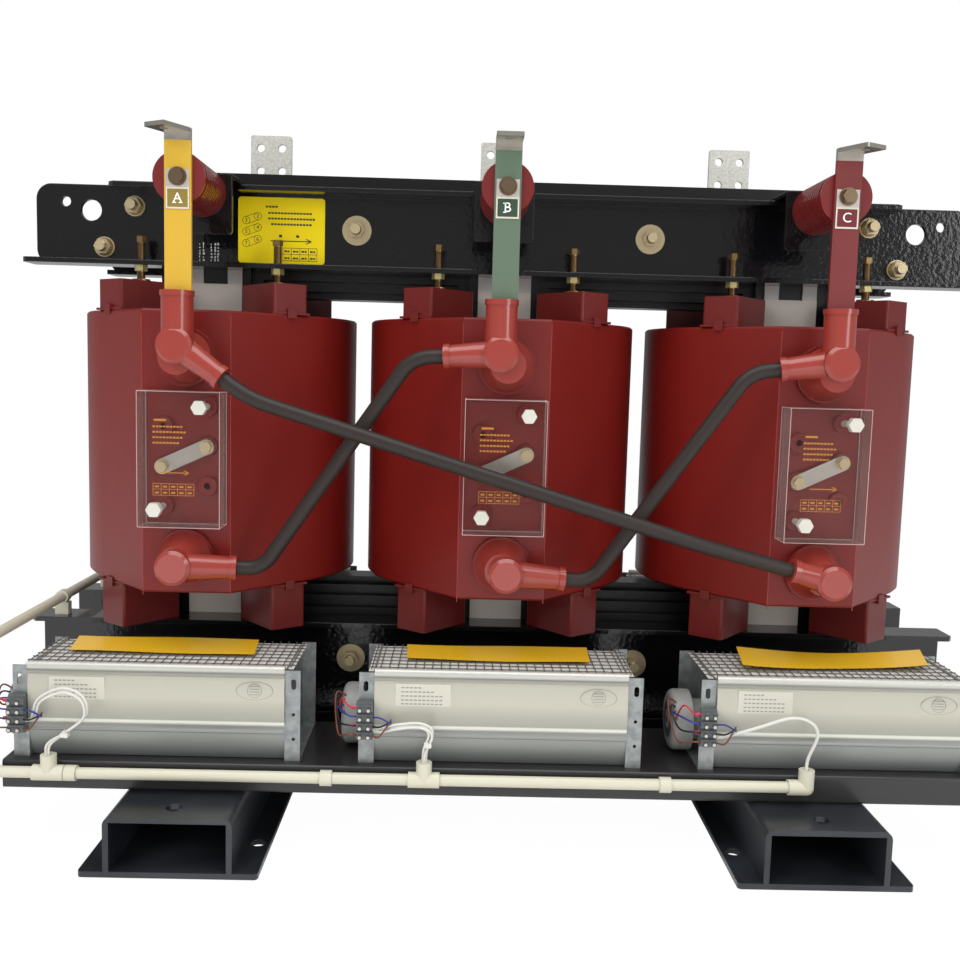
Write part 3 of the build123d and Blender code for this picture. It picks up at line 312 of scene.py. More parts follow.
jack_root, jack_top, jack_half_turn, jack_pitch = 6.0, 6.9, 0.8, 1.8
jack_x, jack_y = 110, 118
jack_heights = [849 + jack_pitch * k for k in range(15)] + [819.5 + jack_pitch * k for k in range(6)]
jack_crest = bmesh.new()
rod_in(jack_crest, (0, 0, -jack_half_turn), (0, 0, 0), jack_root, jack_top, sides=16)
rod_in(jack_crest, (0, 0, 0), (0, 0, jack_half_turn), jack_top, jack_root, sides=16)
jack_spots = [
    (c + side * jack_x, t * jack_y, z)
    for c in coil_mids
    for side in (-1, 1)
    for t in (-1, 1)
    for z in jack_heights
]
repeated("jack_bolt_threads", jack_crest, jack_spots, zinc_bronze)

# ---------------------------------------------------------------- low voltage bars
# Flat aluminium bars rise behind the upper clamp, tinned at the pads and drilled with four holes.
# Black moulded blocks hold them on painted steel arms, and thermometer leads lie over the yoke.

mottle_numbers = [(title, NUMBER) for title in ("Scale", "Detail", "Low", "High")]
mottle_colours = [(title, COLOUR) for title in ("Ground", "Patches")]
mottle, came, gone = effect("mottle", mottle_numbers + mottle_colours, "Colour", COLOUR)
mask = mottle.nodes.new("ShaderNodeMapRange")
blend = mottle.nodes.new("ShaderNodeMix")
blend.data_type = "RGBA"
blend_factor, blend_a, blend_b = blend.inputs[0], blend.inputs[6], blend.inputs[7]
mottle.links.new(noise_in(mottle, came).outputs["Fac"], mask.inputs["Value"])
mottle.links.new(came.outputs["Low"], mask.inputs["From Min"])
mottle.links.new(came.outputs["High"], mask.inputs["From Max"])
mottle.links.new(mask.outputs["Result"], blend_factor)
mottle.links.new(came.outputs["Ground"], blend_a)
mottle.links.new(came.outputs["Patches"], blend_b)
mottle.links.new(blend.outputs[2], gone.inputs["Colour"])


def mottled(material, patches, scale, low, high, detail=4.0):
    """Breaks a finish's colour up with patches of a second one."""
    tree = material.node_tree
    base = tree.nodes["Principled BSDF"].inputs["Base Color"]
    ground = tuple(base.default_value)
    values = dict(Scale=scale, Detail=detail, Low=low, High=high, Ground=ground, Patches=(*patches, 1.0))
    tree.links.new(placed(material, mottle, **values).outputs["Colour"], base)
    return material


pad_tin = painted("tinned_pad", (0.50, 0.50, 0.45), 0.45, metal=0.3)
dress(mottled(pad_tin, (0.64, 0.64, 0.59), 420.0, 0.40, 0.60, 1.0), "lv_bars")
dress(clamp_paint, "lv_supports")
dress(painted("black_plastic", (0.012, 0.012, 0.013), 0.4), "lv_support_blocks")


def curved(points, steps=8):
    """Smooth run through the points (Catmull-Rom)."""
    pts = [Vector(p) for p in points]
    pts = [pts[0] * 2 - pts[1]] + pts + [pts[-1] * 2 - pts[-2]]
    run = []
    for p0, p1, p2, p3 in zip(pts, pts[1:], pts[2:], pts[3:]):
        for k in range(steps):
            t = k / steps
            square = (2 * p0 - 5 * p1 + 4 * p2 - p3) * t**2
            cube = (3 * p1 - p0 - 3 * p2 + p3) * t**3
            run.append(0.5 * (2 * p1 + (p2 - p0) * t + square + cube))
    run.append(pts[-2])
    return run


def wire_in(bm, run, r, sides=8, slot=0):
    """Round wire along a run of points, in millimetres."""
    side = None
    last = None
    for k, point in enumerate(run):
        ahead = run[min(k + 1, len(run) - 1)] - run[max(k - 1, 0)]
        ahead.normalize()
        side = ahead.orthogonal() if side is None else side - ahead * side.dot(ahead)
        side.normalize()
        over = ahead.cross(side)
        ring = []
        for j in range(sides):
            t = 2 * math.pi * j / sides
            ring.append(bm.verts.new((point + (side * math.cos(t) + over * math.sin(t)) * r) * MM))
        if last:
            for j in range(sides):
                n = (j + 1) % sides
                f = bm.faces.new((last[j], last[n], ring[n], ring[j]))
                f.material_index = slot
                f.smooth = True
        last = ring


lead_white = painted("lead_white", (0.60, 0.59, 0.55), 0.45)
sensor_r = 2.6
sensor_path = ((-560, 60, 978), (-500, 104, 992), (-462, 110, 1012), (-430, 112, 1010), (-400, 100, 984))
sensor_steps = ((4, 2), (3, 3), (3, 3.5), (3, 3), (3, 2))
bm = bmesh.new()
for k in range(4):
    run = [(x, y + dy * k, z + dz * k) for (x, y, z), (dy, dz) in zip(sensor_path, sensor_steps)]
    wire_in(bm, curved(run), sensor_r)
made("sensor_leads", bm, lead_white)

# ---------------------------------------------------------------- high voltage bars and insulators
# Ribbed resin post insulators hold a bar in a sleeve of each phase colour, with one bolt through it.
# The bar's bare tinned end is bent over as a tab, and a framed plate by the bolt has the phase letter.

dress(painted("insulator_resin", (0.15, 0.012, 0.012), 0.28, coat=0.4), "insulators")
dress(clamp_paint, "insulator_brackets")
dress(painted("sleeve_yellow", (0.56, 0.345, 0.034), 0.46, spec=0.35), "hv_bar_a")
dress(painted("sleeve_green", (0.098, 0.145, 0.098), 0.46), "hv_bar_b")
dress(painted("sleeve_red", (0.155, 0.018, 0.018), 0.38), "hv_bar_c")
tinned = wavy(painted("tinned_bar", (0.58, 0.55, 0.50), 0.34, metal=1.0), 90.0, 0.0001)
dress(tinned, "hv_tabs")
dress(zinc_bronze, "bar_bolts")


def box_in(bm, low, high, slot=0):
    """Straight box between two corners, in millimetres."""
    plan = ((low[0], low[1]), (high[0], low[1]), (high[0], high[1]), (low[0], high[1]))
    corners = [bm.verts.new((x * MM, y * MM, z * MM)) for z in (low[2], high[2]) for x, y in plan]
    for ring in ((3, 2, 1, 0), (4, 5, 6, 7), (0, 1, 5, 4), (1, 2, 6, 5), (2, 3, 7, 6), (3, 0, 4, 7)):
        bm.faces.new([corners[i] for i in ring]).material_index = slot


def lettering(text, x, y, z, height, finish):
    """Flat raised characters on a face that looks along -Y, centred on x and z, in millimetres."""
    cap_share = 0.7
    data = bpy.data.curves.new("characters", "FONT")
    data.body = text
    data.size = height * MM / cap_share
    data.extrude = 0.2 * MM
    data.align_x = "CENTER"
    data.align_y = "CENTER"
    mesh = flattened(linked("characters", data))
    upright = Matrix.Rotation(math.pi / 2, 4, "X")
    mesh.transform(Matrix.Translation((x * MM, y * MM, z * MM)) @ upright)
    mesh.materials.clear()
    mesh.materials.append(finish)
    return mesh


def joined(name, meshes):
    """One piece from several meshes of one finish."""
    bm = bmesh.new()
    for mesh in meshes:
        bm.from_mesh(mesh)
    made(name, bm, meshes[0].materials[0])


plate_frame = painted("plate_frame", (0.60, 0.56, 0.46), 0.45)
tag_grey = painted("tag_grey", (0.50, 0.48, 0.44), 0.4, metal=0.3)
letter_white = painted("letter_white", (0.86, 0.85, 0.80), 0.5)
bar_front, plate_half, field_half = -325.0, 16.5, 14.3
plate_foot, plate_top, tag_top = 902, 932, 957
letter_z, letter_height = 917, 13.5
for letter, x, name, color in (
    ("A", -475.0, "plate_olive", (0.23, 0.165, 0.030)),
    ("B", -8.0, "plate_green", (0.030, 0.062, 0.038)),
    ("C", 478.0, "plate_red", (0.13, 0.010, 0.016)),
):
    left, right = x - plate_half, x + plate_half
    bm = bmesh.new()
    box_in(bm, (left, bar_front - 0.7, plate_foot), (right, bar_front - 0.02, tag_top), 1)
    box_in(bm, (left, bar_front - 1.0, plate_foot), (right, bar_front - 0.05, plate_top), 0)
    field = ((x - field_half, bar_front - 1.2, 904.5), (x + field_half, bar_front - 0.6, 929.5))
    box_in(bm, *field, 2)
    made("phase_plate_" + letter.lower(), bm, plate_frame, tag_grey, painted(name, color, 0.4))
    shape = lettering(letter, x, bar_front - 1.3, letter_z, letter_height, letter_white)
    joined("phase_letter_" + letter.lower(), [shape])

# Short strokes square off the ends of the letters A and B.
stroke_half = 0.7
serif = bmesh.new()
for x, z, w in ((-479.5, 910.6, 5.4), (-470.5, 910.6, 5.4), (-12.0, 910.6, 4.8), (-12.0, 923.2, 4.8)):
    low = (x - w / 2, bar_front - 1.5, z - stroke_half)
    high = (x + w / 2, bar_front - 1.2, z + stroke_half)
    box_in(serif, low, high)
made("phase_letter_feet", serif, letter_white)

# ---------------------------------------------------------------- terminal boots and delta cables
# Moulded silicone elbows plug over the coil terminals and the feet of the bars.
# Black rubber cables run from boot to boot and close the delta.

boot_rubber = painted("boot_silicone", (0.27, 0.034, 0.024), 0.24, coat=0.4, coat_rough=0.12)
dress(wavy(boot_rubber, 22.0, 0.0008), "upper_boots", "lower_boots")
cable_jacket = wavy(painted("cable_jacket", (0.024, 0.017, 0.015), 0.46, spec=0.35), 80.0, 0.0001)
dress(cable_jacket, "delta_cable_ac", "delta_cable_ba", "delta_cable_cb")

# ---------------------------------------------------------------- tap links and their covers
# A tinned link on two studs sets the tap, behind a clear moulded box held by two nylon bolts.
# Its cut edges carry light pink rods, a painted highlight, and thin yellow print lies inside: lines, an arrow
# and a small table.

dress(tinned, "tap_links")
dress(zinc, "tap_link_bolts")
dress(painted("nylon", (0.56, 0.55, 0.48), 0.4), "cover_bolts")


def see_through(material, tint=None):
    """Adds a clear shader, and a mix of it with the skin that feeds the surface; gives the mix."""
    tree = material.node_tree
    clear = tree.nodes.new("ShaderNodeBsdfTransparent")
    if tint:
        clear.inputs["Color"].default_value = tint
    mix = tree.nodes.new("ShaderNodeMixShader")
    tree.links.new(clear.outputs[0], mix.inputs[1])
    tree.links.new(tree.nodes["Principled BSDF"].outputs[0], mix.inputs[2])
    tree.links.new(mix.outputs[0], tree.nodes["Material Output"].inputs["Surface"])
    return mix


clear_cover = bpy.data.materials.new("clear_cover")
clear_cover.use_nodes = True
tree = clear_cover.node_tree
skin = tree.nodes["Principled BSDF"]
skin.inputs["Base Color"].default_value = (0.36, 0.30, 0.29, 1.0)
skin.inputs["Roughness"].default_value = 0.06
skin.inputs["IOR"].default_value = 1.45
facing = tree.nodes.new("ShaderNodeLayerWeight")
facing.inputs["Blend"].default_value = 0.16
haze = tree.nodes.new("ShaderNodeMath")
haze.operation = "ADD"
haze.use_clamp = True
haze.inputs[1].default_value = 0.012
mix = see_through(clear_cover, tint=(0.97, 0.965, 0.96, 1.0))
tree.links.new(facing.outputs["Facing"], haze.inputs[0])
tree.links.new(haze.outputs[0], mix.inputs["Fac"])
dress(clear_cover, "tap_covers")

# Light rods along every edge of each cover: a painted highlight on the cut edges.
cover_half, cover_ends, cover_depths, edge_r = 60.4, (442.6, 643.4), (-308.4, -263.0), 0.55
bm = bmesh.new()
for c in coil_mids:
    cover_sides = (c - cover_half, c + cover_half)
    for y in cover_depths:
        for z in cover_ends:
            rod_in(bm, (cover_sides[0], y, z), (cover_sides[1], y, z), edge_r, sides=6)
        for x in cover_sides:
            rod_in(bm, (x, y, cover_ends[0]), (x, y, cover_ends[1]), edge_r, sides=6)
    for x in cover_sides:
        for z in cover_ends:
            rod_in(bm, (x, cover_depths[0], z), (x, cover_depths[1], z), edge_r, sides=6)
made("cover_edges", bm, painted("cover_edge", (0.62, 0.42, 0.40), 0.3))


def ink_bar(bm, depths, x0, z0, x1, z1):
    """Thin printed bar on a plate, in millimetres."""
    box_in(bm, (x0, depths[0], z0), (x1, depths[1], z1))


def ink_line(bm, depths, x0, z0, x1, z1, w):
    """Printed line of width w, as one flat face."""
    d = Vector((x1 - x0, 0, z1 - z0))
    n = Vector((-d.z, 0, d.x)).normalized() * (w / 2)
    start, end = Vector((x0, 0, z0)), Vector((x1, 0, z1))
    ring = (start - n, end - n, end + n, start + n)
    bm.faces.new([bm.verts.new((p.x * MM, depths[0] * MM, p.z * MM)) for p in ring])


print_depths = (-305.6, -305.3)
bm = bmesh.new()
for c in coil_mids:
    ink_bar(bm, print_depths, c - 36, 600, c - 18, 603)
    for z, w in ((592, 46), (584, 50), (576, 48), (568, 40)):
        for k in range(w // 5):
            x = c - 38 + 5 * k
            ink_bar(bm, print_depths, x, z - 1.4, x + 3.6, z + 1.2)
    ink_line(bm, print_depths, c - 26, 524, c + 14, 524, 1.3)
    for barb in (3.5, -3.5):
        ink_line(bm, print_depths, c + 8, 524 + barb, c + 15, 524, 1.2)
    for k in range(6):
        ink_bar(bm, print_depths, c - 38 + 12 * k, 490, c - 37.3 + 12 * k, 508)
    for z in (490, 499, 507.4):
        ink_bar(bm, print_depths, c - 38, z, c + 22.7, z + 0.7)
    for k in range(5):
        for z in (493, 502):
            ink_bar(bm, print_depths, c - 35 + 12 * k, z, c - 29 + 12 * k, z + 2.6)
made("cover_marks", bm, painted("cover_ink", (0.62, 0.26, 0.02), 0.5))

# ---------------------------------------------------------------- tap setting plate and chalk
# A yellow printed plate with rounded corners lies flat on the upper clamp: numbered taps joined in
# pairs, plain bars for lines, an arrow and a table. Short chalk strokes are left beside it.

sign_front = -84.0
corner_r, corner_steps = 5.5, 7
rim = []
for cx, cz, start in ((-304.5, 953.5, 0), (-435.5, 953.5, 90), (-435.5, 857.5, 180), (-304.5, 857.5, 270)):
    for k in range(corner_steps):
        t = math.radians(start + 15 * k)
        rim.append((cx + corner_r * math.cos(t), cz + corner_r * math.sin(t)))
bm = bmesh.new()
near, far = ([bm.verts.new((x * MM, (sign_front - out) * MM, z * MM)) for x, z in rim] for out in (0.8, 0.02))
bm.faces.new(near)
bm.faces.new(far[::-1])
for k in range(len(rim)):
    n = (k + 1) % len(rim)
    bm.faces.new((near[n], near[k], far[k], far[n]))
bmesh.ops.recalc_face_normals(bm, faces=bm.faces)
made("tap_plate", bm, painted("sign_yellow", (0.86, 0.66, 0.006), 0.45, spec=0.2))

ink = painted("sign_ink", (0.03, 0.03, 0.02), 0.5)
depths = (sign_front - 1.0, sign_front - 0.7)
left_x, right_x, pair_rise, ring_r, ring_sides = -428, -409, 7, 6, 20
bm = bmesh.new()
numbers = []
for z, left, right in ((921, "3", "2"), (903, "5", "4"), (884, "7", "6")):
    for x, dz, number in ((left_x, 0, left), (right_x, pair_rise, right)):
        turns = [2 * math.pi * k / ring_sides for k in range(ring_sides + 1)]
        ring = [(x + ring_r * math.cos(t), z + dz + ring_r * math.sin(t)) for t in turns]
        for start, end in zip(ring, ring[1:]):
            ink_line(bm, depths, *start, *end, 0.8)
        numbers.append(lettering(number, x, depths[0], z + dz, 6.5, ink))
    for off in (-5.6, 5.6):
        lean = off * 0.35
        ink_line(bm, depths, left_x - lean, z + off, right_x - lean, z + pair_rise + off, 0.7)
word_step, word_long = 5.2, 3.9
for x, z, w in ((-396, 944, 22), (-392, 934, 76), (-392, 925, 80), (-387, 916, 70)):
    for k in range(int(w / word_step)):
        ink_bar(bm, depths, x + k * word_step, z - 1.7, x + k * word_step + word_long, z + 1.4)
ink_line(bm, depths, -388, 889, -322, 889, 1.6)
for barb in (4, -4):
    ink_line(bm, depths, -330, 889 + barb, -321, 889, 1.4)
for x in (-374, -346):
    ink_bar(bm, depths, x, 895, x + 5, 899)
for x in (-382, -368, -354, -340, -326, -312):
    ink_bar(bm, depths, x, 857, x + 0.8, 878)
for z in (857, 867.5, 877.5):
    ink_bar(bm, depths, -382, z, -311.2, z + 0.8)
for k in range(5):
    for z in (871, 860):
        ink_bar(bm, depths, -379 + 14 * k, z, -374.5 + 14 * k, z + 3)
        ink_bar(bm, depths, -373.5 + 14 * k, z, -370.5 + 14 * k, z + 3)
made("tap_plate_ink", bm, ink)
joined("tap_plate_numbers", numbers)

bm = bmesh.new()
dice = random.Random(7)
for x in (-505, -499, -486, -480, -475):
    for k in range(6):
        z = 853 + 5.2 * k
        high = 2.0 + 2.6 * dice.random()
        wide = 1.2 + 2.0 * dice.random()
        box_in(bm, (x, sign_front - 0.5, z), (x + wide, sign_front - 0.02, z + high))
made("chalk_marks", bm, painted("chalk", (0.42, 0.42, 0.41), 0.7))

# ---------------------------------------------------------------- feet and fan shelves
# Welded box sections on flat plates carry the lower clamps, and folded shelves hold the fans.
# The feet are satin black with lighter patches at random, and the shelves a plainer black.

foot_paint = wavy(painted("foot_black", (0.0125, 0.0145, 0.0185), 0.34, coat=0.2), 12.0, 0.0008)
softened(mottled(foot_paint, (0.032, 0.036, 0.043), 6.0, 0.45, 0.75), 0.002)
dress(foot_paint, "foot_left", "foot_right")
shelf_paint = wavy(painted("shelf_black", (0.020, 0.019, 0.020), 0.32, coat=0.2), 12.0, 0.0006)
dress(softened(shelf_paint, 0.003), "fan_shelf_front", "fan_shelf_rear")

# ---------------------------------------------------------------- fan casings
# Each cross flow fan has a casing folded from bright sheet: a rolled rail along the top, a bowed panel, a
# bead and a lower panel, between galvanised end brackets, with a bare plate on it. Its colour is banded by
# height with painted light: painted shade down the lower panel, a painted highlight on the bead and a painted
# shadow under the rail.

fan_sheet_painted_light = painted("fan_sheet_painted_light", (0.66, 0.67, 0.69), 0.38, metal=0.35)
# Tones by height in metres: the dark lower stops are painted shade, the narrow bright band is a painted
# highlight on the bead, and the thin dark band near the top is a painted shadow under the rail.
sheet_light_and_shade = (
    (0.120, (0.075, 0.082, 0.082)),
    (0.135, (0.16, 0.17, 0.165)),
    (0.158, (0.27, 0.28, 0.265)),
    (0.1750, (0.31, 0.315, 0.30)),
    (0.1760, (0.66, 0.66, 0.60)),
    (0.1815, (0.66, 0.66, 0.60)),
    (0.1830, (0.33, 0.33, 0.285)),
    (0.215, (0.49, 0.475, 0.40)),
    (0.246, (0.46, 0.45, 0.38)),
    (0.252, (0.20, 0.20, 0.18)),
    (0.254, (0.50, 0.50, 0.46)),
    (0.268, (0.58, 0.57, 0.53)),
)
tree = fan_sheet_painted_light.node_tree
coord = tree.nodes.new("ShaderNodeTexCoord")
split = tree.nodes.new("ShaderNodeSeparateXYZ")
span = tree.nodes.new("ShaderNodeMapRange")
tones = tree.nodes.new("ShaderNodeValToRGB")
lowest, highest = sheet_light_and_shade[0][0], sheet_light_and_shade[-1][0]
span.inputs["From Min"].default_value = lowest
span.inputs["From Max"].default_value = highest
while len(tones.color_ramp.elements) < len(sheet_light_and_shade):
    tones.color_ramp.elements.new(0.5)
for stop, (height, color) in zip(tones.color_ramp.elements, sheet_light_and_shade):
    stop.position = (height - lowest) / (highest - lowest)
    stop.color = (*color, 1.0)
tree.links.new(coord.outputs["Object"], split.inputs[0])
tree.links.new(split.outputs["Z"], span.inputs["Value"])
tree.links.new(span.outputs[0], tones.inputs["Fac"])
tree.links.new(tones.outputs["Color"], tree.nodes["Principled BSDF"].inputs["Base Color"])
dress(fan_sheet_painted_light, "fan_casings")
galvanised = painted("galvanised", (0.26, 0.28, 0.28), 0.42, metal=0.75)
dress(mottled(galvanised, (0.36, 0.38, 0.38), 70.0, 0.4, 0.6), "fan_end_brackets", "fan_grilles")

# Three fans stand in front. The rear three are the same, turned half round (t is -1 for them).
fans = [(c, t) for c in (-486.0, 1.0, 488.0) for t in (1, -1)]

rail_y, rail_z, rail_r = -397.5, 256.5, 6.5
profile = [
    (rail_y + rail_r * math.cos(t), rail_z + rail_r * math.sin(t))
    for t in (math.radians(q) for q in range(-20, 251, 18))
]
profile += [(-400.8, 249.0), (-401.3, 247.5)]
profile += [(-401.3 - 2.2 * math.sin(math.pi * q / 10), 247.5 - 6.55 * q) for q in range(1, 10)]
profile += [(-402.4 + 0.2 * q * q, 181.6 - 2.9 * q) for q in range(3)]
profile += [(-399.0 + 9.0 * (q / 8) ** 2, 175.4 - 6.2 * q) for q in range(9)]
skin_half = 180.0
bm = bmesh.new()
for c, t in fans:
    last = None
    for y, z in profile:
        pair = [bm.verts.new((t * (c + x) * MM, t * y * MM, z * MM)) for x in (-skin_half, skin_half)]
        if last:
            bm.faces.new((last[0], pair[0], pair[1], last[1])).smooth = True
        last = pair
made("casing_skins", bm, fan_sheet_painted_light)

plate_back, plate_front, print_front = -400.9, -403.2, -403.3


def face_box(bm, fan, x0, z0, x1, z1, lift, slot):
    """Thin box on the front of one casing, with x measured from the fan's middle."""
    c, t = fan
    ends = [(t * (c + x0), t * (plate_front - lift), z0), (t * (c + x1), t * plate_back, z1)]
    box_in(bm, [min(v) for v in zip(*ends)], [max(v) for v in zip(*ends)], slot)


seal_x, seal_z = 138, 228
bm = bmesh.new()
for fan in fans:
    c, t = fan
    face_box(bm, fan, -150, 211, -72, 243, 0.5, 0)
    for z, w in ((238, 34), (232, 50), (226, 60), (220, 62), (214.5, 62)):
        for q in range(w // 6):
            face_box(bm, fan, -142 + 6 * q, z - 1.2, -137.8 + 6 * q, z + 0.6, 0.8, 1)
    for wide, high in ((26, 13), (10, 10)):
        turns = [q * math.pi / 16 for q in range(33)]
        loop = [
            Vector((t * (c + seal_x + wide * math.cos(a)), t * print_front, seal_z + high * math.sin(a)))
            for a in turns
        ]
        wire_in(bm, loop, 0.35, sides=4, slot=1)
    for z in (222, 226, 230, 234):
        face_box(bm, fan, 131, z, 145, z + 0.8, 0.4, 1)
plate_pale = painted("bare_plate", (0.53, 0.515, 0.44), 0.4)
made("fan_plates", bm, plate_pale, painted("plate_line", (0.27, 0.26, 0.235), 0.5))

# ---------------------------------------------------------------- fan grilles, film and tape
# Crossed steel wires, welded where they meet, guard the outlet on top of each casing.
# A pale, mostly opaque sheet lies just under them, and the front fans still carry a strip of plain yellow
# transit tape.

wire_grey = painted("grille_wire", (0.16, 0.155, 0.145), 0.4, metal=0.5)
grille_y, grille_wire_r = -317.0, 0.8
cross_pitch, cross_half, cross_z = 12.4, 68, 258.6
along_pitch, along_half, along_z = 18, 192, 257.2
cross = bmesh.new()
rod_in(cross, (0, -cross_half, 0), (0, cross_half, 0), grille_wire_r, sides=8)
along = bmesh.new()
rod_in(along, (-along_half, 0, 0), (along_half, 0, 0), grille_wire_r, sides=8)
cross_spots = [(t * c + cross_pitch * k, t * grille_y, cross_z) for c, t in fans for k in range(-15, 16)]
along_spots = [(t * c, t * grille_y + along_pitch * k, along_z) for c, t in fans for k in range(-3, 4)]
repeated("grille_cross_wires", cross, cross_spots, wire_grey)
repeated("grille_long_wires", along, along_spots, wire_grey)

pale_sheet = painted("transit_film", (0.86, 0.85, 0.80), 0.35)
sheet_share = 0.85
see_through(pale_sheet).inputs["Fac"].default_value = sheet_share
sheet_half, sheet_edges, sheet_heights = 190, (-250, -386), (255.2, 255.6)
bm = bmesh.new()
for c, t in fans:
    ys = sorted(t * y for y in sheet_edges)
    box_in(bm, (t * c - sheet_half, ys[0], sheet_heights[0]), (t * c + sheet_half, ys[1], sheet_heights[1]))
made("transit_film", bm, pale_sheet)

# One strip for each front fan: its four corners, and how far its ends curl up.
tape_strips = (
    (((-650, -246), (-372, -246), (-362, -334), (-634, -330)), 0.0),
    (((-141, -258), (138, -252), (133, -338), (-137, -338)), 1.0),
    (((372, -252), (664, -246), (640, -330), (356, -352)), 7.0),
)
tape_z, tape_ripple, tape_rows = 260.6, 0.7, 12
bm = bmesh.new()
for corners, curl in tape_strips:
    last = None
    for k in range(tape_rows + 1):
        t = k / tape_rows
        pair = []
        for a, b in ((corners[0], corners[1]), (corners[3], corners[2])):
            x = a[0] + (b[0] - a[0]) * t
            y = a[1] + (b[1] - a[1]) * t
            z = tape_z + curl * (2 * t - 1) ** 2 + tape_ripple * math.sin(7 * t + a[0])
            pair.append(bm.verts.new((x * MM, y * MM, z * MM)))
        if last:
            bm.faces.new((last[0], last[1], pair[1], pair[0]))
        last = pair
bmesh.ops.recalc_face_normals(bm, faces=bm.faces)
made("grille_tape", bm, painted("tape_yellow", (0.84, 0.50, 0.020), 0.34, coat=0.3))

# ---------------------------------------------------------------- fan wheels and motors
# A pale pressed wheel with blades turns in each casing on its own body, and gives the air flow.
# Its motor stands outside one end bracket, a grey drum with turned rings on its end.

wheel_pale = painted("wheel_aluminium", (0.74, 0.73, 0.70), 0.5, metal=0.2)
dress(wheel_pale, *(f"fan_rotor_{k}" for k in range(1, 7)))
motor_paint = painted("motor_grey", (0.25, 0.25, 0.24), 0.42)
dress(motor_paint, "fan_motors")
motor_end, motor_y, motor_z = -232.0, -318, 172
bm = bmesh.new()
for c, t in fans:
    x = c + motor_end
    for r, depth, slot in ((33, 0.3, 1), (27, 0.5, 0), (14, 0.7, 1), (5, 2.0, 0)):
        start, end = (t * x, t * motor_y, motor_z), (t * (x - depth), t * motor_y, motor_z)
        rod_in(bm, start, end, r, sides=40, slot=slot)
made("motor_rings", bm, painted("motor_ring", (0.045, 0.045, 0.045), 0.5), motor_paint)

# ---------------------------------------------------------------- terminal blocks and thin wires
# A dark moulded block with four screw pairs is fixed by the motor of each fan, whose thin coloured
# wires loop into it from behind, with pink crimped ferrules at two of the ways.

dress(painted("terminal_plastic", (0.10, 0.11, 0.11), 0.35), "fan_terminal_blocks")
# The dark discs round the screws are painted shade in their wells, and the thin dark strip above each pair is
# painted shade in a slot between the ways.
well_shade = painted("terminal_well_shade", (0.035, 0.035, 0.035), 0.5)
screw_pale = painted("terminal_screw", (0.60, 0.58, 0.54), 0.3, metal=1.0)
block_front, way_pitch, way_mid = -423.4, 13, 190
bm = bmesh.new()
for c, t in fans:
    for k in (-1.5, -0.5, 0.5, 1.5):
        z = way_mid + way_pitch * k
        for x in (c - 198.5, c - 186.5):
            rod_in(bm, (t * x, t * block_front, z), (t * x, t * -424.6, z), 3.6, sides=16, slot=0)
            rod_in(bm, (t * x, t * -424.4, z), (t * x, t * -425.2, z), 2.4, sides=12, slot=1)
        xs = sorted((t * (c - 203), t * (c - 182)))
        ys = sorted((t * block_front, t * -423.9))
        box_in(bm, (xs[0], ys[0], z + 4.0), (xs[1], ys[1], z + 4.6), 0)
made("terminal_screws", bm, well_shade, screw_pale)

block_mid, top_way, wire_r = -192.5, 209.5, 1.3
wires = (
    ("wire_red", (0.45, 0.02, 0.025)),
    ("wire_blue", (0.015, 0.035, 0.22)),
    ("wire_black", (0.012, 0.012, 0.013)),
    ("wire_brown", (0.16, 0.05, 0.03)),
)
for n, (name, color) in enumerate(wires):
    bm = bmesh.new()
    z0 = top_way - way_pitch * n
    for c, t in fans:
        x0 = c + block_mid
        to_motor = (
            (x0 - 8, -412.0, z0),
            (x0 - 22, -(414.0 + 2 * n), z0 + 3),
            (x0 - 34 - 2 * n, -(400.0 - 4 * n), z0 + 10 - 5 * n),
            (x0 - 38 - 3 * n, -(370.0 - 6 * n), 190 + 7 * n),
            (x0 - 26, -344.0, 186 + 5 * n),
        )
        to_lead = (
            (x0 + 10, -414.0, z0),
            (x0 + 22, -(420.0 + n), z0 + 2),
            (x0 + 38, -(419.0 - n), 186 + 3 * n),
        )
        for path in (to_motor,) if name == "wire_red" else (to_motor, to_lead):
            wire_in(bm, curved([(t * x, t * y, z) for x, y, z in path]), wire_r)
    made(name, bm, painted(name, color, 0.4))

ferrule_r = 2.6
bm = bmesh.new()
for c, t in fans:
    x0 = c + block_mid
    for z in (top_way, top_way - 2 * way_pitch):
        rod_in(bm, (t * (x0 - 12), t * -409, z), (t * (x0 - 19), t * -410, z), ferrule_r, sides=10)
made("ferrule_pink", bm, painted("ferrule_pink", (0.62, 0.08, 0.22), 0.4))

# ---------------------------------------------------------------- conduit and fan leads
# White plastic pipe with push fittings and clips runs along each shelf and feeds the fans.
# A lead rises from each fitting to its block, as one sheath or as two or three strands under a tie.

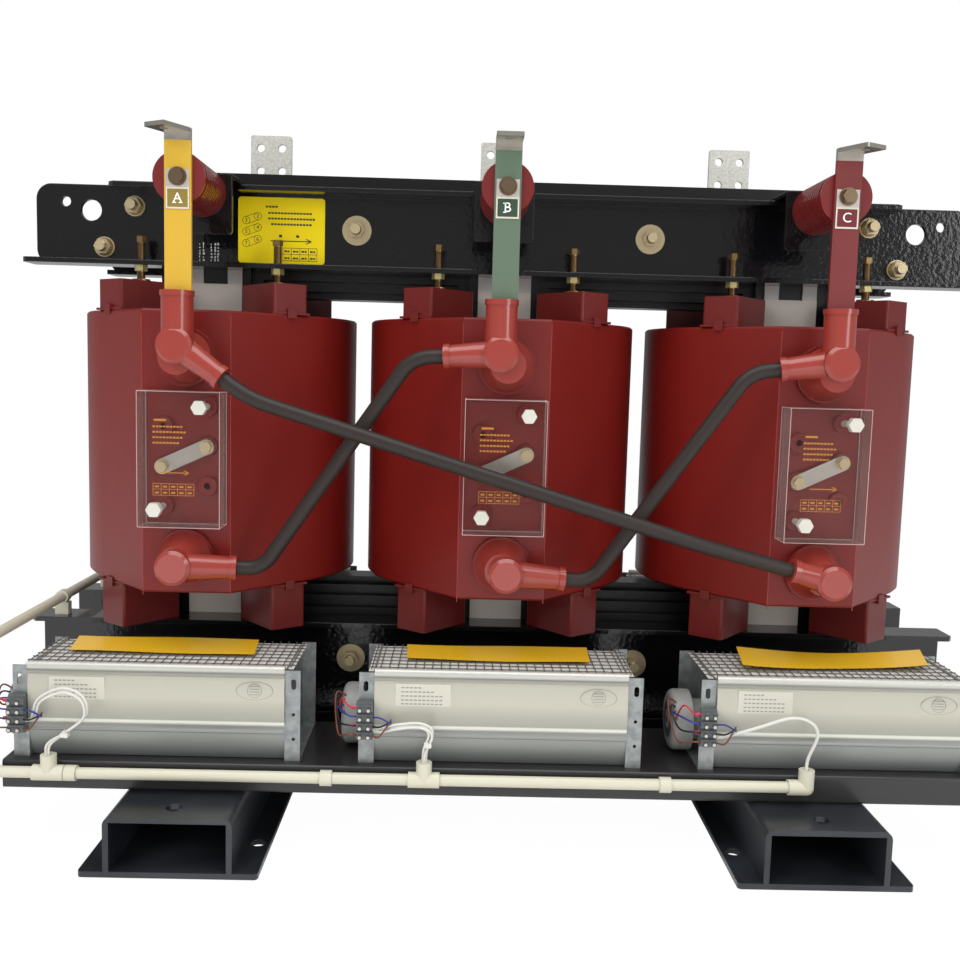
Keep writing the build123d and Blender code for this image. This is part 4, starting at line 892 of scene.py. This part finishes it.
conduit_pvc = painted("conduit_pvc", (0.55, 0.53, 0.42), 0.42)
dress(conduit_pvc, "conduit_pipes", "conduit_fittings", "conduit_clips")
dress(lead_white, "fan_leads")
lead_paths = (
    (2, ((-629, -426, 122), (-629, -427, 150), (-600, -432, 172), (-574, -434, 196), (-578, -434, 222),
         (-606, -430, 232), (-640, -424, 216), (-655, -411, 186), (-667, -408, 180))),
    (3, ((-106, -426, 122), (-105, -427, 152), (-97, -430, 180), (-112, -428, 190), (-145, -422, 186),
         (-165, -411, 178), (-180, -408, 176))),
    (1, ((434, -426, 122), (434, -427, 152), (444, -433, 190), (432, -434, 210), (404, -432, 214),
         (364, -425, 198), (325, -412, 180), (307, -408, 176))),
)
sheath_r, strand_r, tie_r, tie_at = 2.4, 1.9, 5.6, 0.24
bm = bmesh.new()
for strand_count, points in lead_paths:
    alone = strand_count == 1
    for t in (1, -1):
        run = curved([(t * x, t * y, z) for x, y, z in points], 10)
        for k in range(strand_count):
            swing = []
            for q, p in enumerate(run):
                turn = 2.1 * k + 0.05 * q
                spread = 0.0 if alone else 1.9 + 1.6 * math.sin(math.pi * q / (len(run) - 1))
                swing.append(p + Vector((math.cos(turn), 0.5 * math.sin(turn), math.sin(turn))) * spread)
            wire_in(bm, swing, sheath_r if alone else strand_r)
        if alone:
            continue
        tie = run[int(len(run) * tie_at)]
        rod_in(bm, tie - Vector((2.0, 0, 2.0)), tie + Vector((2.0, 0, 2.0)), tie_r, sides=14)
        box_in(bm, tie - Vector((5, 6.5, 3)), tie + Vector((5, -4.0, 3)))
strands = made("lead_strands", bm, lead_white)
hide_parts("fan_leads")

# ---------------------------------------------------------------- stage
# A pale floor and a white surround, both seen white by the camera, and four soft lamps.
# The side and low lamps are kept out of the gloss, so that the black paint stays dark.

bpy.ops.mesh.primitive_plane_add(size=60.0, location=(0, 0, -0.001))
floor = bpy.context.object
floor.name = "floor"
floor_white = painted("floor_white", (0.9, 0.9, 0.9), 0.9, spec=0.0)
tree = floor_white.node_tree
glow = tree.nodes.new("ShaderNodeEmission")
glow.inputs["Color"].default_value = (1.0, 1.0, 1.0, 1.0)
glow.inputs["Strength"].default_value = 1.02
seen = tree.nodes.new("ShaderNodeLightPath")
lift = tree.nodes.new("ShaderNodeMath")
lift.operation = "MULTIPLY"
lift.inputs[1].default_value = 0.96
mix = tree.nodes.new("ShaderNodeMixShader")
tree.links.new(seen.outputs["Is Camera Ray"], lift.inputs[0])
tree.links.new(lift.outputs[0], mix.inputs["Fac"])
tree.links.new(tree.nodes["Principled BSDF"].outputs[0], mix.inputs[1])
tree.links.new(glow.outputs[0], mix.inputs[2])
tree.links.new(mix.outputs[0], tree.nodes["Material Output"].inputs["Surface"])
floor.data.materials.append(floor_white)

world = bpy.data.worlds.new("surround")
bpy.context.scene.world = world
world.use_nodes = True
tree = world.node_tree


def surround(strength, node=None):
    """White light of one strength from all round."""
    node = node or tree.nodes.new("ShaderNodeBackground")
    node.inputs["Color"].default_value = (1.0, 1.0, 1.0, 1.0)
    node.inputs["Strength"].default_value = strength
    return node.outputs[0]


lighting = surround(0.50, tree.nodes["Background"])
reflected = surround(0.34)
backdrop = surround(1.02)
path = tree.nodes.new("ShaderNodeLightPath")
shine = tree.nodes.new("ShaderNodeMixShader")
pick = tree.nodes.new("ShaderNodeMixShader")
tree.links.new(path.outputs["Is Glossy Ray"], shine.inputs["Fac"])
tree.links.new(lighting, shine.inputs[1])
tree.links.new(reflected, shine.inputs[2])
tree.links.new(path.outputs["Is Camera Ray"], pick.inputs["Fac"])
tree.links.new(shine.outputs[0], pick.inputs[1])
tree.links.new(backdrop, pick.inputs[2])
tree.links.new(pick.outputs[0], tree.nodes["World Output"].inputs["Surface"])


def area_light(name, where, look_at, size, power, in_gloss=True):
    """Soft rectangular lamp aimed at a point, in metres."""
    data = bpy.data.lights.new(name, "AREA")
    data.shape = "RECTANGLE"
    data.size, data.size_y = size
    data.energy = power
    lamp = linked(name, data)
    lamp.location = where
    aim = Vector(look_at) - Vector(where)
    lamp.rotation_euler = aim.to_track_quat("-Z", "Y").to_euler()
    lamp.visible_glossy = in_gloss


area_light("ceiling_soft", (0.0, -1.2, 3.6), (0, 0, 0.5), (4.0, 2.4), 90.0)
area_light("front_left", (-2.6, -3.2, 2.2), (0, 0, 0.5), (1.8, 1.8), 55.0, in_gloss=False)
area_light("front_right", (2.8, -3.0, 1.6), (0, 0, 0.5), (1.2, 2.0), 35.0)
area_light("low_front", (0.0, -2.6, 0.35), (0, 0, 0.12), (3.0, 0.5), 12.0, in_gloss=False)

# ---------------------------------------------------------------- camera
# It stands in front of the high voltage side, a little left of the middle and below the bar tops,
# looks slightly down and is held slightly askew.

yaw, pitch, roll = (math.radians(a) for a in (1.06, -5.99, 1.57))
forward = Vector((math.sin(yaw) * math.cos(pitch), math.cos(yaw) * math.cos(pitch), math.sin(pitch)))
right = forward.cross(Vector((0, 0, 1))).normalized()
up = right.cross(forward)
right_rolled = right * math.cos(roll) + up * math.sin(roll)
up_rolled = up * math.cos(roll) - right * math.sin(roll)
lens = bpy.data.cameras.new("view")
camera = linked("view", lens)
basis = Matrix((right_rolled, up_rolled, -forward)).transposed().to_4x4()
camera.matrix_world = Matrix.Translation((-0.06307, -1.84607, 0.68669)) @ basis
lens.sensor_width = 36.0
lens.lens = 39.27
lens.shift_x = -0.0012
lens.clip_start = 0.05
bpy.context.scene.camera = camera
bpy.context.scene.view_settings.view_transform = "Standard"
